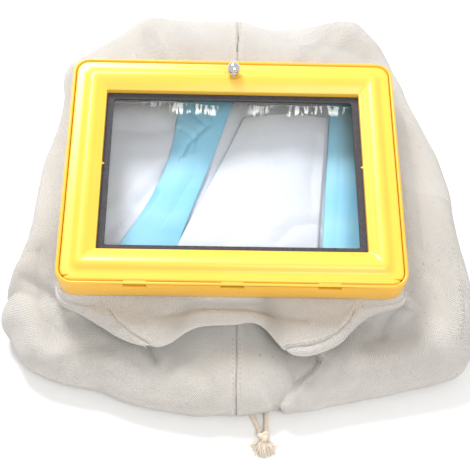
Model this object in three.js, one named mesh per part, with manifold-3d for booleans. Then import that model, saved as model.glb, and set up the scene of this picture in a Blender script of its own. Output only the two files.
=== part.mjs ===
import * as THREE from "three";
import { mergeVertices } from "three/addons/utils/BufferGeometryUtils.js";
import Module from "manifold-3d";

const wasm = await Module();
wasm.setup();

// A sandblasting hood lying on a table with its window up.
// Millimetres, +Z up, +X to the wearer's left, +Y towards the crown, origin under its middle.
// A hard window frame is held in a canvas hood that has collapsed around it.

// Window frame: a tray that the canvas hangs from, and a hinged bezel that drops into it
const tray = {
  width: 240,
  height: 187,
  corner: 12,
  wall: 2.5,
  depth: 20,
  floor: 2.5,
  rimRound: 1.2,
  seatWall: 3,
};
const stand = { height: 95, tilt: THREE.MathUtils.degToRad(8.6) };
const opening = { width: 187.7, height: 131.9, corner: 1 };
const bezel = {
  gap: 0.4,
  edge: 3.6,
  flat: 6,
  ridge: 3,
  ridgeInset: 12.5,
  skin: 2.2,
  lipDrop: 1.6,
  lipDepth: 4.3,
  ridgeCorner: 4,
};
const nib = { reach: 2, width: 2.6, height: 1.6 };
const hinge = { tongueWidth: 15, tongueThick: 1.8, tongueReach: 3.6, spacing: 66, slack: 0.3 };
const glass = { thick: 3, overlap: 6.6, corner: 3 };
const gasket = { thick: 1.7, overlap: 5 };
const film = { thick: 0.4, sideGap: 2.5, farGap: 1.2, wave: 1.1 };
const knob = { ball: 5.25, inset: 10.5, seat: 6.2, seatRise: 0.5, shank: 2, collar: 3.2, reach: 9 };
const boss = { radius: 5, bore: 2.6, boreDepth: 9, under: 0.7 };
const clearance = 0.3;

// Canvas: wall, hang from the frame, and how far it falls around it
const cloth = { wall: 1.6, flange: 8, gap: 0.4, seamGap: 0.35, flare: 100, turn: 18 };
const foldDepth = 9;
const seamX = 4;
const mouth = { width: 214, length: 54, front: 119, corner: 25 };
const hem = { height: 6.4, width: 6.4, wall: 1.2 };
const cord = { diameter: 3.8, exitX: 20, exitWidth: 21, loopGap: 29.6, hemGap: 36, knot: 4.4, tuftWidth: 9 };
const inside = { depth: 42, slope: 34, frontSlope: 15, relief: 2.5 };
const band = { wall: 1, crown: 3.5, rise: 0.7 };

// Fold of the hood at heading deg: belly is its reach past the frame's inner ellipse,
// foot how far the ground line lies inside the belly, both as shares of cloth.flare,
// and bellyUp and crestUp are heights as shares of stand.height
const hoodSections = [
  { deg: 0, belly: 0.47, bellyUp: 0.46, crestUp: 0.7, foot: 0.13 },
  { deg: 15, belly: 0.51, bellyUp: 0.48, crestUp: 0.72, foot: 0.13 },
  { deg: 28, belly: 0.55, bellyUp: 0.5, crestUp: 0.78, foot: 0.14 },
  { deg: 38, belly: 0.66, bellyUp: 0.53, crestUp: 0.84, foot: 0.15 },
  { deg: 46, belly: 0.83, bellyUp: 0.58, crestUp: 0.92, foot: 0.16 },
  { deg: 54, belly: 0.99, bellyUp: 0.6, crestUp: 0.98, foot: 0.18 },
  { deg: 59, belly: 1.09, bellyUp: 0.62, crestUp: 1.0, foot: 0.24 },
  { deg: 67, belly: 0.9, bellyUp: 0.56, crestUp: 0.98, foot: 0.18 },
  { deg: 77, belly: 0.87, bellyUp: 0.54, crestUp: 0.97, foot: 0.16 },
  { deg: 89, belly: 0.86, bellyUp: 0.54, crestUp: 0.98, foot: 0.16 },
  { deg: 101, belly: 0.88, bellyUp: 0.56, crestUp: 0.99, foot: 0.16 },
  { deg: 112, belly: 0.98, bellyUp: 0.6, crestUp: 1.0, foot: 0.18 },
  { deg: 121, belly: 0.84, bellyUp: 0.6, crestUp: 0.98, foot: 0.17 },
  { deg: 130, belly: 0.79, bellyUp: 0.6, crestUp: 0.93, foot: 0.16 },
  { deg: 138, belly: 0.74, bellyUp: 0.58, crestUp: 0.88, foot: 0.16 },
  { deg: 145, belly: 0.53, bellyUp: 0.54, crestUp: 0.82, foot: 0.15 },
  { deg: 155, belly: 0.36, bellyUp: 0.5, crestUp: 0.76, foot: 0.13 },
  { deg: 167, belly: 0.29, bellyUp: 0.47, crestUp: 0.72, foot: 0.12 },
  { deg: 180, belly: 0.26, bellyUp: 0.45, crestUp: 0.69, foot: 0.12 },
  { deg: 192, belly: 0.34, bellyUp: 0.42, crestUp: 0.66, foot: 0.13 },
  { deg: 200, belly: 0.5, bellyUp: 0.34, crestUp: 0.6, foot: 0.13 },
  { deg: 206, belly: 0.71, bellyUp: 0.22, crestUp: 0.54, foot: 0.12 },
  { deg: 212, belly: 0.74, bellyUp: 0.2, crestUp: 0.48, foot: 0.1 },
  { deg: 219, belly: 0.79, bellyUp: 0.19, crestUp: 0.4, foot: 0.1 },
  { deg: 227, belly: 0.735, bellyUp: 0.18, crestUp: 0.38, foot: 0.1 },
  { deg: 236, belly: 0.64, bellyUp: 0.17, crestUp: 0.37, foot: 0.1 },
  { deg: 244, belly: 0.625, bellyUp: 0.17, crestUp: 0.37, foot: 0.1 },
  { deg: 253, belly: 0.615, bellyUp: 0.17, crestUp: 0.38, foot: 0.1 },
  { deg: 262, belly: 0.61, bellyUp: 0.17, crestUp: 0.4, foot: 0.1 },
  { deg: 271, belly: 0.595, bellyUp: 0.17, crestUp: 0.4, foot: 0.1 },
  { deg: 279, belly: 0.585, bellyUp: 0.17, crestUp: 0.4, foot: 0.09 },
  { deg: 285, belly: 0.585, bellyUp: 0.17, crestUp: 0.38, foot: 0.09 },
  { deg: 292, belly: 0.62, bellyUp: 0.17, crestUp: 0.37, foot: 0.1 },
  { deg: 300, belly: 0.66, bellyUp: 0.18, crestUp: 0.37, foot: 0.1 },
  { deg: 309, belly: 0.735, bellyUp: 0.19, crestUp: 0.38, foot: 0.1 },
  { deg: 316, belly: 0.83, bellyUp: 0.2, crestUp: 0.4, foot: 0.1 },
  { deg: 323, belly: 0.95, bellyUp: 0.22, crestUp: 0.45, foot: 0.12 },
  { deg: 330, belly: 0.92, bellyUp: 0.25, crestUp: 0.52, foot: 0.12 },
  { deg: 337, belly: 0.78, bellyUp: 0.3, crestUp: 0.58, foot: 0.13 },
  { deg: 345, belly: 0.62, bellyUp: 0.36, crestUp: 0.63, foot: 0.13 },
  { deg: 353, belly: 0.51, bellyUp: 0.42, crestUp: 0.67, foot: 0.13 },
];

// Lower front fold that hangs over the cape at heading deg: lip is its reach past the tray wall
// as a share of cloth.flare, crease where it dips first as a share of lip,
// lipUp and creaseUp are heights as shares of stand.height
const frontSections = [
  { deg: 213, lip: 0.03, lipUp: 0.585, crease: 0.5, creaseUp: 0.6 },
  { deg: 218, lip: 0.05, lipUp: 0.54, crease: 0.5, creaseUp: 0.585 },
  { deg: 223, lip: 0.11, lipUp: 0.52, crease: 0.5, creaseUp: 0.58 },
  { deg: 229, lip: 0.2, lipUp: 0.505, crease: 0.45, creaseUp: 0.585 },
  { deg: 236, lip: 0.29, lipUp: 0.5, crease: 0.4, creaseUp: 0.585 },
  { deg: 245, lip: 0.335, lipUp: 0.5, crease: 0.3, creaseUp: 0.58 },
  { deg: 250, lip: 0.31, lipUp: 0.51, crease: 0.2, creaseUp: 0.575 },
  { deg: 254, lip: 0.22, lipUp: 0.53, crease: 0.16, creaseUp: 0.575 },
  { deg: 259, lip: 0.16, lipUp: 0.53, crease: 0.15, creaseUp: 0.575 },
  { deg: 271, lip: 0.14, lipUp: 0.53, crease: 0.15, creaseUp: 0.575 },
  { deg: 279, lip: 0.125, lipUp: 0.535, crease: 0.18, creaseUp: 0.575 },
  { deg: 283, lip: 0.19, lipUp: 0.53, crease: 0.2, creaseUp: 0.575 },
  { deg: 286.5, lip: 0.33, lipUp: 0.51, crease: 0.22, creaseUp: 0.575 },
  { deg: 291, lip: 0.39, lipUp: 0.5, crease: 0.26, creaseUp: 0.58 },
  { deg: 297, lip: 0.37, lipUp: 0.5, crease: 0.3, creaseUp: 0.585 },
  { deg: 303, lip: 0.31, lipUp: 0.505, crease: 0.4, creaseUp: 0.59 },
  { deg: 309, lip: 0.2, lipUp: 0.52, crease: 0.45, creaseUp: 0.6 },
  { deg: 315, lip: 0.1, lipUp: 0.54, crease: 0.5, creaseUp: 0.605 },
  { deg: 321, lip: 0.05, lipUp: 0.58, crease: 0.5, creaseUp: 0.61 },
  { deg: 327, lip: 0.03, lipUp: 0.61, crease: 0.5, creaseUp: 0.62 },
];

// Chin panel seams: each runs from the tray wall to the lip, between these headings
const chinSeams = [
  { name: "left", wallDeg: 225, lipDeg: 249, bend: 1.25 },
  { name: "right", wallDeg: 316, lipDeg: 288, bend: 1.25 },
];

// Valleys in the canvas, from a to b in plan as shares of the tray's half width and half height,
// with their depth as a share of foldDepth and their width as a share of cloth.flare
const valleys = [
  { name: "left notch", ax: -1.42, ay: -0.72, bx: -0.98, by: -0.78, depth: 0.7, width: 0.1 },
  { name: "right crease", ax: 1.02, ay: -0.92, bx: 0.84, by: -1.22, depth: 0.5, width: 0.12 },
  { name: "right soft fold", ax: 0.8, ay: -1.26, bx: 1.12, by: -1.0, depth: 0.3, width: 0.13 },
  { name: "cape overlap", ax: 0.6, ay: -1.26, bx: 0.3, by: -1.62, depth: 0.9, width: 0.12 },
  { name: "left tuck", ax: -0.45, ay: -1.28, bx: -0.4, by: -1.4, depth: 0.5, width: 0.08 },
  { name: "crown fold", ax: 0.3, ay: 1.62, bx: 0.86, by: 1.36, depth: 0.7, width: 0.2 },
  { name: "crown fold left", ax: -0.75, ay: 1.3, bx: -0.5, by: 1.72, depth: 0.4, width: 0.16 },
];

// Strips of lining seen through the window: edges A and B at the far and near end as shares of
// the opening's half width, the ends as shares of its half height, how far edge A bows
const liningStrips = [
  { name: "lining_band_left", farA: -0.44, farB: 0.01, nearA: -0.97, nearB: -0.47, bow: 0.13, far: 1.36 },
  { name: "lining_flap", farA: 0.1, farB: 0.79, nearA: -0.49, nearB: 0.66, bow: 0, far: 1.12 },
  { name: "lining_band_right", farA: 0.83, farB: 1.02, nearA: 0.7, nearB: 1.03, bow: 0, far: 1.36 },
];
const stripNear = -0.78;
const flapLift = 1.8;

// Route of each free end of the drawcord, from the hem out to the knot: shares of the exit's
// half width beside the exit, and millimetres in front of the neck mouth and above the table
const endRoutes = {
  cord_end_left: [
    [-1.29, 3.2, 5.1],
    [-1.0, 4.6, 5],
    [-0.7, 8.5, 4.2],
    [-0.59, 14, 2.9],
    [-0.53, 21, 2.1],
    [-0.42, 29, 2.1],
    [-0.15, 36, 2.1],
    [0.12, 43.5, 2.6],
  ],
  cord_end_right: [
    [1.29, 3.2, 5.1],
    [1.0, 4.6, 5],
    [0.72, 8.5, 4.2],
    [0.63, 14, 2.9],
    [0.59, 21, 2.1],
    [0.57, 29, 2.1],
    [0.53, 36, 2.1],
    [0.52, 43.4, 2.6],
  ],
};
const knotPlace = { side: 0.34, front: 47.5, up: 4.4 };

const lerp = THREE.MathUtils.lerp;
const smoothstep = THREE.MathUtils.smoothstep;
const rad = THREE.MathUtils.degToRad;

// Solids and meshes
function solidOf(geometry) {
  const bare = geometry.clone();
  for (const name of Object.keys(bare.attributes)) {
    if (name !== "position") bare.deleteAttribute(name);
  }
  const merged = mergeVertices(bare, 1e-4);
  const vertProperties = merged.attributes.position.array;
  const triVerts = new Uint32Array(merged.index.array);
  return new wasm.Manifold(new wasm.Mesh({ numProp: 3, vertProperties, triVerts }));
}

function geometryOf(solid) {
  const mesh = solid.getMesh();
  const geometry = new THREE.BufferGeometry();
  geometry.setAttribute("position", new THREE.BufferAttribute(mesh.vertProperties, 3));
  geometry.setIndex(new THREE.BufferAttribute(mesh.triVerts, 1));
  geometry.computeVertexNormals();
  return geometry;
}

function closedGeometry(points, triangles) {
  const flat = points.flatMap((p) => [p.x, p.y, p.z]);
  const geometry = new THREE.BufferGeometry();
  geometry.setAttribute("position", new THREE.Float32BufferAttribute(flat, 3));
  geometry.setIndex(triangles);
  return geometry;
}

function finish(color, roughness, metalness = 0) {
  return new THREE.MeshStandardMaterial({ color, roughness, metalness });
}

function meshOf(name, shape, material) {
  const geometry = shape.isBufferGeometry ? shape : geometryOf(shape);
  const mesh = new THREE.Mesh(geometry, material);
  mesh.name = name;
  return mesh;
}

// A rectangle with round corners, the same number of points whatever its radius
const cornerSteps = 4;
function roundedRect(halfX, halfY, radius) {
  const points = [];
  for (let quarter = 0; quarter < 4; quarter++) {
    const signX = quarter === 0 || quarter === 3 ? 1 : -1;
    const signY = quarter < 2 ? 1 : -1;
    for (let step = 0; step <= cornerSteps; step++) {
      const angle = ((quarter + step / cornerSteps) * Math.PI) / 2;
      const x = signX * (halfX - radius) + radius * Math.cos(angle);
      const y = signY * (halfY - radius) + radius * Math.sin(angle);
      points.push(new THREE.Vector2(x, y));
    }
  }
  return points;
}

// A ring: each row gives half sizes, corner and height, and the rows close on themselves
function ringBody(rows) {
  const contours = rows.map((r) => roundedRect(r.x, r.y, Math.max(r.corner, 0.4)));
  const count = contours[0].length;
  const points = contours.flatMap((c, i) => c.map((p) => new THREE.Vector3(p.x, p.y, rows[i].z)));
  const triangles = [];
  for (let i = 0; i < rows.length; i++) {
    const next = (i + 1) % rows.length;
    for (let j = 0; j < count; j++) {
      const a = i * count + j;
      const b = i * count + ((j + 1) % count);
      const c = next * count + ((j + 1) % count);
      const d = next * count + j;
      triangles.push(a, b, c, a, c, d);
    }
  }
  return solidOf(closedGeometry(points, triangles));
}

function plate(outline, low, high, holes = []) {
  const shape = new THREE.Shape(outline);
  for (const hole of holes) shape.holes.push(new THREE.Path(hole));
  const geometry = new THREE.ExtrudeGeometry(shape, { depth: high - low, bevelEnabled: false });
  return solidOf(geometry.translate(0, 0, low));
}

function cylinder(radius, low, high, x, y, sides = 14) {
  const geometry = new THREE.CylinderGeometry(radius, radius, high - low, sides);
  geometry.rotateX(Math.PI / 2);
  return solidOf(geometry.translate(x, y, (low + high) / 2));
}

function box(lowX, lowY, lowZ, highX, highY, highZ) {
  const geometry = new THREE.BoxGeometry(highX - lowX, highY - lowY, highZ - lowZ);
  const x = (lowX + highX) / 2;
  const y = (lowY + highY) / 2;
  return solidOf(geometry.translate(x, y, (lowZ + highZ) / 2));
}

// Window frame, in its own frame: front face at z = 0, crown side at +y
const trayHalf = { x: tray.width / 2, y: tray.height / 2 };
const openHalf = { x: opening.width / 2, y: opening.height / 2 };
const bezelHalf = {
  x: trayHalf.x - tray.wall - bezel.gap,
  y: trayHalf.y - tray.wall - bezel.gap,
};
const bezelCorner = tray.corner - tray.wall - bezel.gap;
const lipUnder = -bezel.lipDrop - bezel.lipDepth;
const gasketTop = lipUnder - clearance;
const gasketLow = gasketTop - gasket.thick;
const glassTop = gasketLow - clearance;
const glassLow = glassTop - glass.thick;
const glassHalf = { x: openHalf.x + glass.overlap, y: openHalf.y + glass.overlap };
const seatTop = glassLow - clearance;
const seatOuter = { x: glassHalf.x + 0.5, y: glassHalf.y + 0.5 };
const seatInner = { x: seatOuter.x - tray.seatWall, y: seatOuter.y - tray.seatWall };
const pivot = { y: -bezelHalf.y + bezel.edge / 2, z: -bezel.edge / 2 };
const knobY = bezelHalf.y + bezel.gap - knob.inset;
const hingePlaces = [-hinge.spacing, 0, hinge.spacing];

function insetRow(half, corner, inset, z, shrink = 1) {
  return { x: half.x - inset, y: half.y - inset, corner: corner - inset * shrink, z };
}

function makeTray() {
  const outer = (inset, z) => insetRow(trayHalf, tray.corner, inset, z, 0.9);
  const round = tray.rimRound;
  const floorTop = -tray.depth + tray.floor;
  const body = ringBody([
    outer(0, -tray.depth + round),
    outer(0, -round),
    outer(round * 0.3, -round * 0.3),
    outer(round, 0),
    outer(tray.wall - round * 0.3, -round * 0.3),
    outer(tray.wall, -round),
    outer(tray.wall, floorTop),
    insetRow(seatOuter, glass.corner, 0, floorTop),
    insetRow(seatOuter, glass.corner, 0, seatTop),
    insetRow(seatInner, 1, 0, seatTop),
    insetRow(seatInner, 1, 0, -tray.depth),
    outer(round, -tray.depth),
  ]);
  const slotHalf = hinge.tongueWidth / 2 + hinge.slack;
  const slotTop = pivot.z + hinge.tongueThick / 2;
  const slotLow = pivot.z - hinge.tongueReach + 0.15;
  const slots = hingePlaces.map((x) =>
    box(x - slotHalf, -trayHalf.y - 1, slotLow, x + slotHalf, -trayHalf.y + tray.wall + 1, slotTop),
  );
  const bossTop = -bezel.edge - 1.6 - boss.under;
  const post = cylinder(boss.radius, floorTop - 1, bossTop, 0, knobY);
  const bore = cylinder(boss.bore, bossTop - boss.boreDepth, bossTop + 1, 0, knobY);
  return slots.reduce((solid, slot) => solid.subtract(slot), body.add(post).subtract(bore));
}

// Room for the bezel's near corners, which turn out past the tray's round corners as it opens:
// the tray's inner wall as the bezel meets it at each of these openings
const reliefDegs = [50, 59, 68, 77, 86, 95];
function cornerRelief(solid) {
  const margin = 0.15;
  const wall = (inset, z) => insetRow(trayHalf, tray.corner, inset, z, 0.9);
  const ring = ringBody([
    wall(-4, -tray.depth),
    wall(-4, margin),
    wall(tray.wall + margin, margin),
    wall(tray.wall + margin, -tray.depth),
  ]);
  for (const deg of reliefDegs) {
    const turned = ring.translate([0, -pivot.y, -pivot.z]).rotate([-deg, 0, 0]);
    solid = solid.subtract(turned.translate([0, pivot.y, pivot.z]));
  }
  return solid;
}

function makeBezel() {
  const outer = (inset, z) => insetRow(bezelHalf, bezelCorner, inset, z, 0.42);
  const window = (outset, z) => insetRow(openHalf, opening.corner, -outset, z, 0.35);
  const half = bezel.edge / 2;
  const diagonal = half * Math.SQRT1_2;
  const crest = bezel.ridgeInset;
  const fall = bezel.ridge + bezel.lipDrop;
  const body = ringBody([
    outer(0, -half),
    outer(half - diagonal, -half + diagonal),
    outer(half, 0),
    outer(bezel.flat, 0),
    outer(lerp(bezel.flat, crest, 0.38), bezel.ridge * 0.5),
    outer(lerp(bezel.flat, crest, 0.7), bezel.ridge * 0.88),
    outer(crest, bezel.ridge),
    outer(crest + 3, bezel.ridge - fall * 0.1),
    window(5.5, bezel.ridge - fall * 0.42),
    window(2.6, bezel.ridge - fall * 0.78),
    window(0.8, -bezel.lipDrop),
    window(0, -bezel.lipDrop - 0.7),
    window(0, lipUnder),
    window(bezel.skin, lipUnder),
    window(bezel.skin, -bezel.edge),
    window(4.5, bezel.ridge - fall * 0.42 - bezel.skin),
    outer(crest, bezel.ridge - bezel.skin),
    outer(bezel.flat + 1, -bezel.edge),
    outer(half, -bezel.edge),
    outer(half - diagonal, -half - diagonal),
  ]);
  const seatClear = cylinder(knob.seat + clearance, knob.seatRise, bezel.ridge + 1, 0, knobY, 20);
  const pad = cylinder(knob.seat, -bezel.edge, knob.seatRise, 0, knobY, 20);
  const hole = cylinder(knob.shank + 0.35, -bezel.edge - 1, knob.seatRise + 1, 0, knobY);
  let solid = cornerRelief(body).subtract(seatClear).add(pad).subtract(hole);
  for (const x of hingePlaces) {
    const side = hinge.tongueWidth / 2;
    const low = pivot.z - hinge.tongueThick / 2;
    const high = pivot.z + hinge.tongueThick / 2;
    const tip = pivot.y - hinge.tongueReach;
    solid = solid.add(box(x - side, tip, low, x + side, pivot.y + 1, high));
  }
  for (const side of [-1, 1]) solid = solid.add(makeNib(side));
  return solid;
}

// A small pointed stop on the window's edge
function makeNib(side) {
  const geometry = new THREE.ConeGeometry(nib.width / 2, nib.reach + 1, 4);
  geometry.scale(1, 1, nib.height / nib.width);
  geometry.rotateZ((side * Math.PI) / 2);
  const x = side * (openHalf.x + 0.5 - nib.reach / 2);
  return solidOf(geometry.translate(x, nib.width, -bezel.lipDrop - 1.4));
}

function makeGlass() {
  return plate(roundedRect(glassHalf.x, glassHalf.y, glass.corner), glassLow, glassTop);
}

function makeGasket() {
  const outer = roundedRect(glassHalf.x, glassHalf.y, glass.corner);
  const inner = roundedRect(openHalf.x - gasket.overlap, openHalf.y - gasket.overlap, 2);
  return plate(outer, gasketLow, gasketTop, [inner.reverse()]);
}

// A clear film under the glass whose crown edge was cut by hand
function makeFilm() {
  const halfX = seatInner.x - film.sideGap;
  const near = -seatInner.y + film.sideGap;
  const far = seatInner.y - film.farGap;
  const outline = [new THREE.Vector2(-halfX, near), new THREE.Vector2(halfX, near)];
  const steps = 10;
  for (let i = 0; i <= steps; i++) {
    const share = i / steps;
    const ripple = film.wave * (Math.cos(share * 9 + 0.6) - 1);
    outline.push(new THREE.Vector2(lerp(halfX, -halfX, share), far + ripple));
  }
  const top = glassLow - clearance;
  return plate(outline, top - film.thick, top);
}

function makeKnob() {
  const centre = knob.seatRise + clearance + 0.7 + knob.ball;
  const profile = [];
  const rings = 7;
  for (let i = 0; i <= rings; i++) {
    const angle = Math.PI / 2 - (i / rings) * rad(158);
    profile.push([knob.ball * Math.cos(angle), centre + knob.ball * Math.sin(angle)]);
  }
  const foot = knob.seatRise + clearance;
  const collarTop = -bezel.edge - clearance;
  profile.push([knob.shank + 1, foot], [knob.shank, foot], [knob.shank, collarTop]);
  profile.push([knob.collar, collarTop], [knob.collar, collarTop - 1], [knob.shank, collarTop - 1]);
  profile.push([knob.shank, -knob.reach], [0, -knob.reach - 1]);
  profile[0][0] = 0;
  const points = profile.reverse().map(([r, z]) => new THREE.Vector2(r, z));
  const geometry = new THREE.LatheGeometry(points, 12);
  geometry.rotateX(Math.PI / 2);
  return solidOf(geometry.translate(0, knobY, 0));
}

// The body's plan: headings turn about the window's centre, from +X towards +Y
const tilt = { sin: Math.sin(stand.tilt), cos: Math.cos(stand.tilt) };

function planeHeight(y, level) {
  return stand.height + (level + y * tilt.sin) / tilt.cos;
}

function wallReach(deg) {
  const c = Math.abs(Math.cos(rad(deg)));
  const s = Math.sin(rad(deg));
  const shift = tray.depth * tilt.sin;
  const halfY = trayHalf.y * tilt.cos + (s > 0 ? shift : -shift);
  const power = 20;
  const sum = (c / trayHalf.x) ** power + (Math.abs(s) / halfY) ** power;
  return sum ** (-1 / power);
}

function innerEllipse(deg) {
  const sum = (Math.cos(rad(deg)) / trayHalf.x) ** 2 + (Math.sin(rad(deg)) / trayHalf.y) ** 2;
  return 1 / Math.sqrt(sum);
}

function inPlan(deg, reach, z) {
  return new THREE.Vector3(reach * Math.cos(rad(deg)), reach * Math.sin(rad(deg)), z);
}

// Smooth value of one column of a table of headings, at any heading
function columnAt(table, name, deg, closed) {
  const count = table.length;
  const at = (i) => {
    if (!closed) return table[Math.min(Math.max(i, 0), count - 1)];
    const row = table[((i % count) + count) % count];
    return { ...row, deg: row.deg + 360 * Math.floor(i / count) };
  };
  let i = 0;
  while (i < count - (closed ? 1 : 2) && at(i + 1).deg <= deg) i++;
  const [p, a, b, n] = [at(i - 1), at(i), at(i + 1), at(i + 2)];
  const t = THREE.MathUtils.clamp((deg - a.deg) / (b.deg - a.deg), 0, 1);
  const span = b.deg - a.deg;
  const slopeA = b.deg === p.deg ? 0 : ((b[name] - p[name]) / (b.deg - p.deg)) * span;
  const slopeB = n.deg === a.deg ? 0 : ((n[name] - a[name]) / (n.deg - a.deg)) * span;
  const rise = b[name] - a[name];
  const cubic = slopeA + slopeB - 2 * rise;
  return a[name] + t * (slopeA + t * (3 * rise - 2 * slopeA - slopeB + t * cubic));
}

// The neck mouth's outline as seen from the window's centre
function mouthReach(deg) {
  const dir = new THREE.Vector2(Math.cos(rad(deg)), Math.sin(rad(deg)));
  const loop = mouthLoop(48);
  let reach = 0;
  for (let i = 0; i < loop.length; i++) {
    const a = loop[i];
    const b = loop[(i + 1) % loop.length];
    const cross = dir.x * (b.y - a.y) - dir.y * (b.x - a.x);
    if (Math.abs(cross) < 1e-9) continue;
    const along = (a.x * (b.y - a.y) - a.y * (b.x - a.x)) / cross;
    const share = (a.x * dir.y - a.y * dir.x) / cross;
    if (share >= 0 && share <= 1) reach = Math.max(reach, along);
  }
  return reach;
}

function mouthLoop(count) {
  const path = new THREE.Path();
  const x = mouth.width / 2;
  const near = -mouth.front;
  const far = near + mouth.length;
  const r = mouth.corner;
  path.moveTo(-x + r, near);
  path.lineTo(x - r, near);
  path.absarc(x - r, near + r, r, -Math.PI / 2, 0);
  path.absarc(x - r, far - r, r, 0, Math.PI / 2);
  path.absarc(-x + r, far - r, r, Math.PI / 2, Math.PI);
  path.absarc(-x + r, near + r, r, Math.PI, 1.5 * Math.PI);
  path.closePath();
  return path.getSpacedPoints(count).slice(0, count);
}

function valleyDepth(x, y) {
  let depth = 0;
  for (const v of valleys) {
    const a = new THREE.Vector2(v.ax * trayHalf.x, v.ay * trayHalf.y);
    const b = new THREE.Vector2(v.bx * trayHalf.x, v.by * trayHalf.y);
    const along = b.clone().sub(a);
    const from = new THREE.Vector2(x, y).sub(a);
    const share = THREE.MathUtils.clamp(from.dot(along) / along.lengthSq(), 0, 1);
    const off = from.sub(along.multiplyScalar(share)).length() / (v.width * cloth.flare);
    depth += v.depth * foldDepth * Math.exp(-off * off * 2.2);
  }
  return depth;
}

// How far the canvas lies under the tray's back, lower where the front fold is clamped above it
function flangeLevel(deg) {
  const first = frontSections[0].deg;
  const last = frontSections[frontSections.length - 1].deg;
  const under = smoothstep(deg, first - 12, first - 3) * (1 - smoothstep(deg, last + 3, last + 12));
  const top = -tray.depth - clearance - cloth.wall / 2;
  return top - under * (cloth.wall + cloth.gap);
}

// One section of the hood from under the tray, over its belly, to its foot and in under itself
function hoodSection(deg) {
  const column = (name) => columnAt(hoodSections, name, deg, true);
  const wall = wallReach(deg);
  const belly = innerEllipse(deg) + column("belly") * cloth.flare;
  const bellyUp = column("bellyUp") * stand.height;
  const crestUp = column("crestUp") * stand.height;
  const foot = belly - column("foot") * cloth.flare;
  const ground = cloth.wall / 2;
  const frontShare = smoothstep(deg, 198, 211) * (1 - smoothstep(deg, 329, 342));
  const crest = lerp(wall, belly, lerp(0.4, 0.15, frontShare));
  const atFlange = (reach) => {
    const p = inPlan(deg, reach, 0);
    return p.setZ(planeHeight(p.y, flangeLevel(deg)));
  };
  const round = Math.SQRT1_2;
  const crestLine = inPlan(deg, lerp(crest, belly, round), lerp(bellyUp, crestUp, round));
  const bellyLine = inPlan(deg, lerp(foot, belly, round), lerp(bellyUp, ground, round));
  const plainTurn = foot - cloth.turn;
  const mouthShare = smoothstep(deg, 217, 226) * (1 - smoothstep(deg, 314, 323));
  const turn = Math.min(lerp(plainTurn, mouthReach(deg) || plainTurn, mouthShare), foot - 4);
  const curve = new THREE.CatmullRomCurve3(
    [
      atFlange(wall - cloth.flange),
      atFlange(wall - lerp(0.5, cloth.flange * 0.7, frontShare)),
      inPlan(deg, crest, crestUp),
      crestLine,
      inPlan(deg, belly, bellyUp),
      bellyLine,
      inPlan(deg, foot, ground),
    ],
    false,
    "centripetal",
  );
  const points = [];
  const stops = [0, 1, 1.6, 2, 2.35, 2.7, 3, 3.3, 3.65, 4, 5, 6];
  for (const stop of stops) points.push(curve.getPoint(stop / 6));
  points.push(inPlan(deg, lerp(foot, turn, 0.25), ground), inPlan(deg, turn, ground));
  return points;
}

function creaseHood(points) {
  return points.map((row) =>
    row.map((p, i) => {
      if (i < 2 || i > row.length - 5) return p;
      const ease = smoothstep(i, 1.5, 4);
      const depth = valleyDepth(p.x, p.y) * ease;
      return new THREE.Vector3(p.x, p.y, Math.max(p.z - depth, cloth.wall * 2));
    }),
  );
}

function gridNormals(points, closed) {
  const count = points.length;
  return points.map((row, i) =>
    row.map((p, j) => {
      const before = closed ? points[(i + count - 1) % count] : points[Math.max(i - 1, 0)];
      const after = closed ? points[(i + 1) % count] : points[Math.min(i + 1, count - 1)];
      const across = after[j].clone().sub(before[j]);
      const down = row[Math.min(j + 1, row.length - 1)].clone().sub(row[Math.max(j - 1, 0)]);
      return down.cross(across).normalize();
    }),
  );
}

// A cloth wall over a grid of points, its outer side on the left of the way the rows run
function sheet(points, wall, closed = false) {
  const rows = points.length;
  const columns = points[0].length;
  const normals = gridNormals(points, closed);
  const side = (sign) =>
    points.flatMap((row, i) =>
      row.map((p, j) => p.clone().addScaledVector(normals[i][j], (sign * wall) / 2)),
    );
  const all = [...side(1), ...side(-1)];
  const back = rows * columns;
  const triangles = [];
  const quad = (a, b, c, d) => triangles.push(a, b, c, a, c, d);
  const strips = closed ? rows : rows - 1;
  for (let i = 0; i < strips; i++) {
    const k = (i + 1) % rows;
    for (let j = 0; j < columns - 1; j++) {
      const [a, b] = [i * columns + j, i * columns + j + 1];
      const [c, d] = [k * columns + j + 1, k * columns + j];
      quad(a, b, c, d);
      quad(back + a, back + d, back + c, back + b);
    }
    const [a, d] = [i * columns, k * columns];
    const end = columns - 1;
    quad(a, d, back + d, back + a);
    quad(a + end, back + a + end, back + d + end, d + end);
  }
  if (!closed) {
    const last = (rows - 1) * columns;
    for (let j = 0; j < columns - 1; j++) {
      quad(j, back + j, back + j + 1, j + 1);
      quad(last + j, last + j + 1, back + last + j + 1, back + last + j);
    }
  }
  return solidOf(closedGeometry(all, triangles));
}

// Headings of the sections: close together at the front, where the folds are
function headings(from, to, step) {
  const count = Math.round((to - from) / step);
  return Array.from({ length: count + 1 }, (_, i) => lerp(from, to, i / count));
}

function makeHoodShell() {
  const front = headings(200, 340, 3.1);
  const rest = headings(340, 560, 6.1).slice(1, -1);
  const degs = [...front, ...rest].map((d) => (d >= 360 ? d - 360 : d));
  return sheet(creaseHood(degs.map(hoodSection)), cloth.wall, true);
}

// The gap at the front where the cord's ends come out from under the hood
function cordExit(width, low, high, back) {
  const half = width / 2;
  const front = -mouth.front - cloth.flare;
  return box(cord.exitX - half, front, low, cord.exitX + half, back, high);
}

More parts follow.
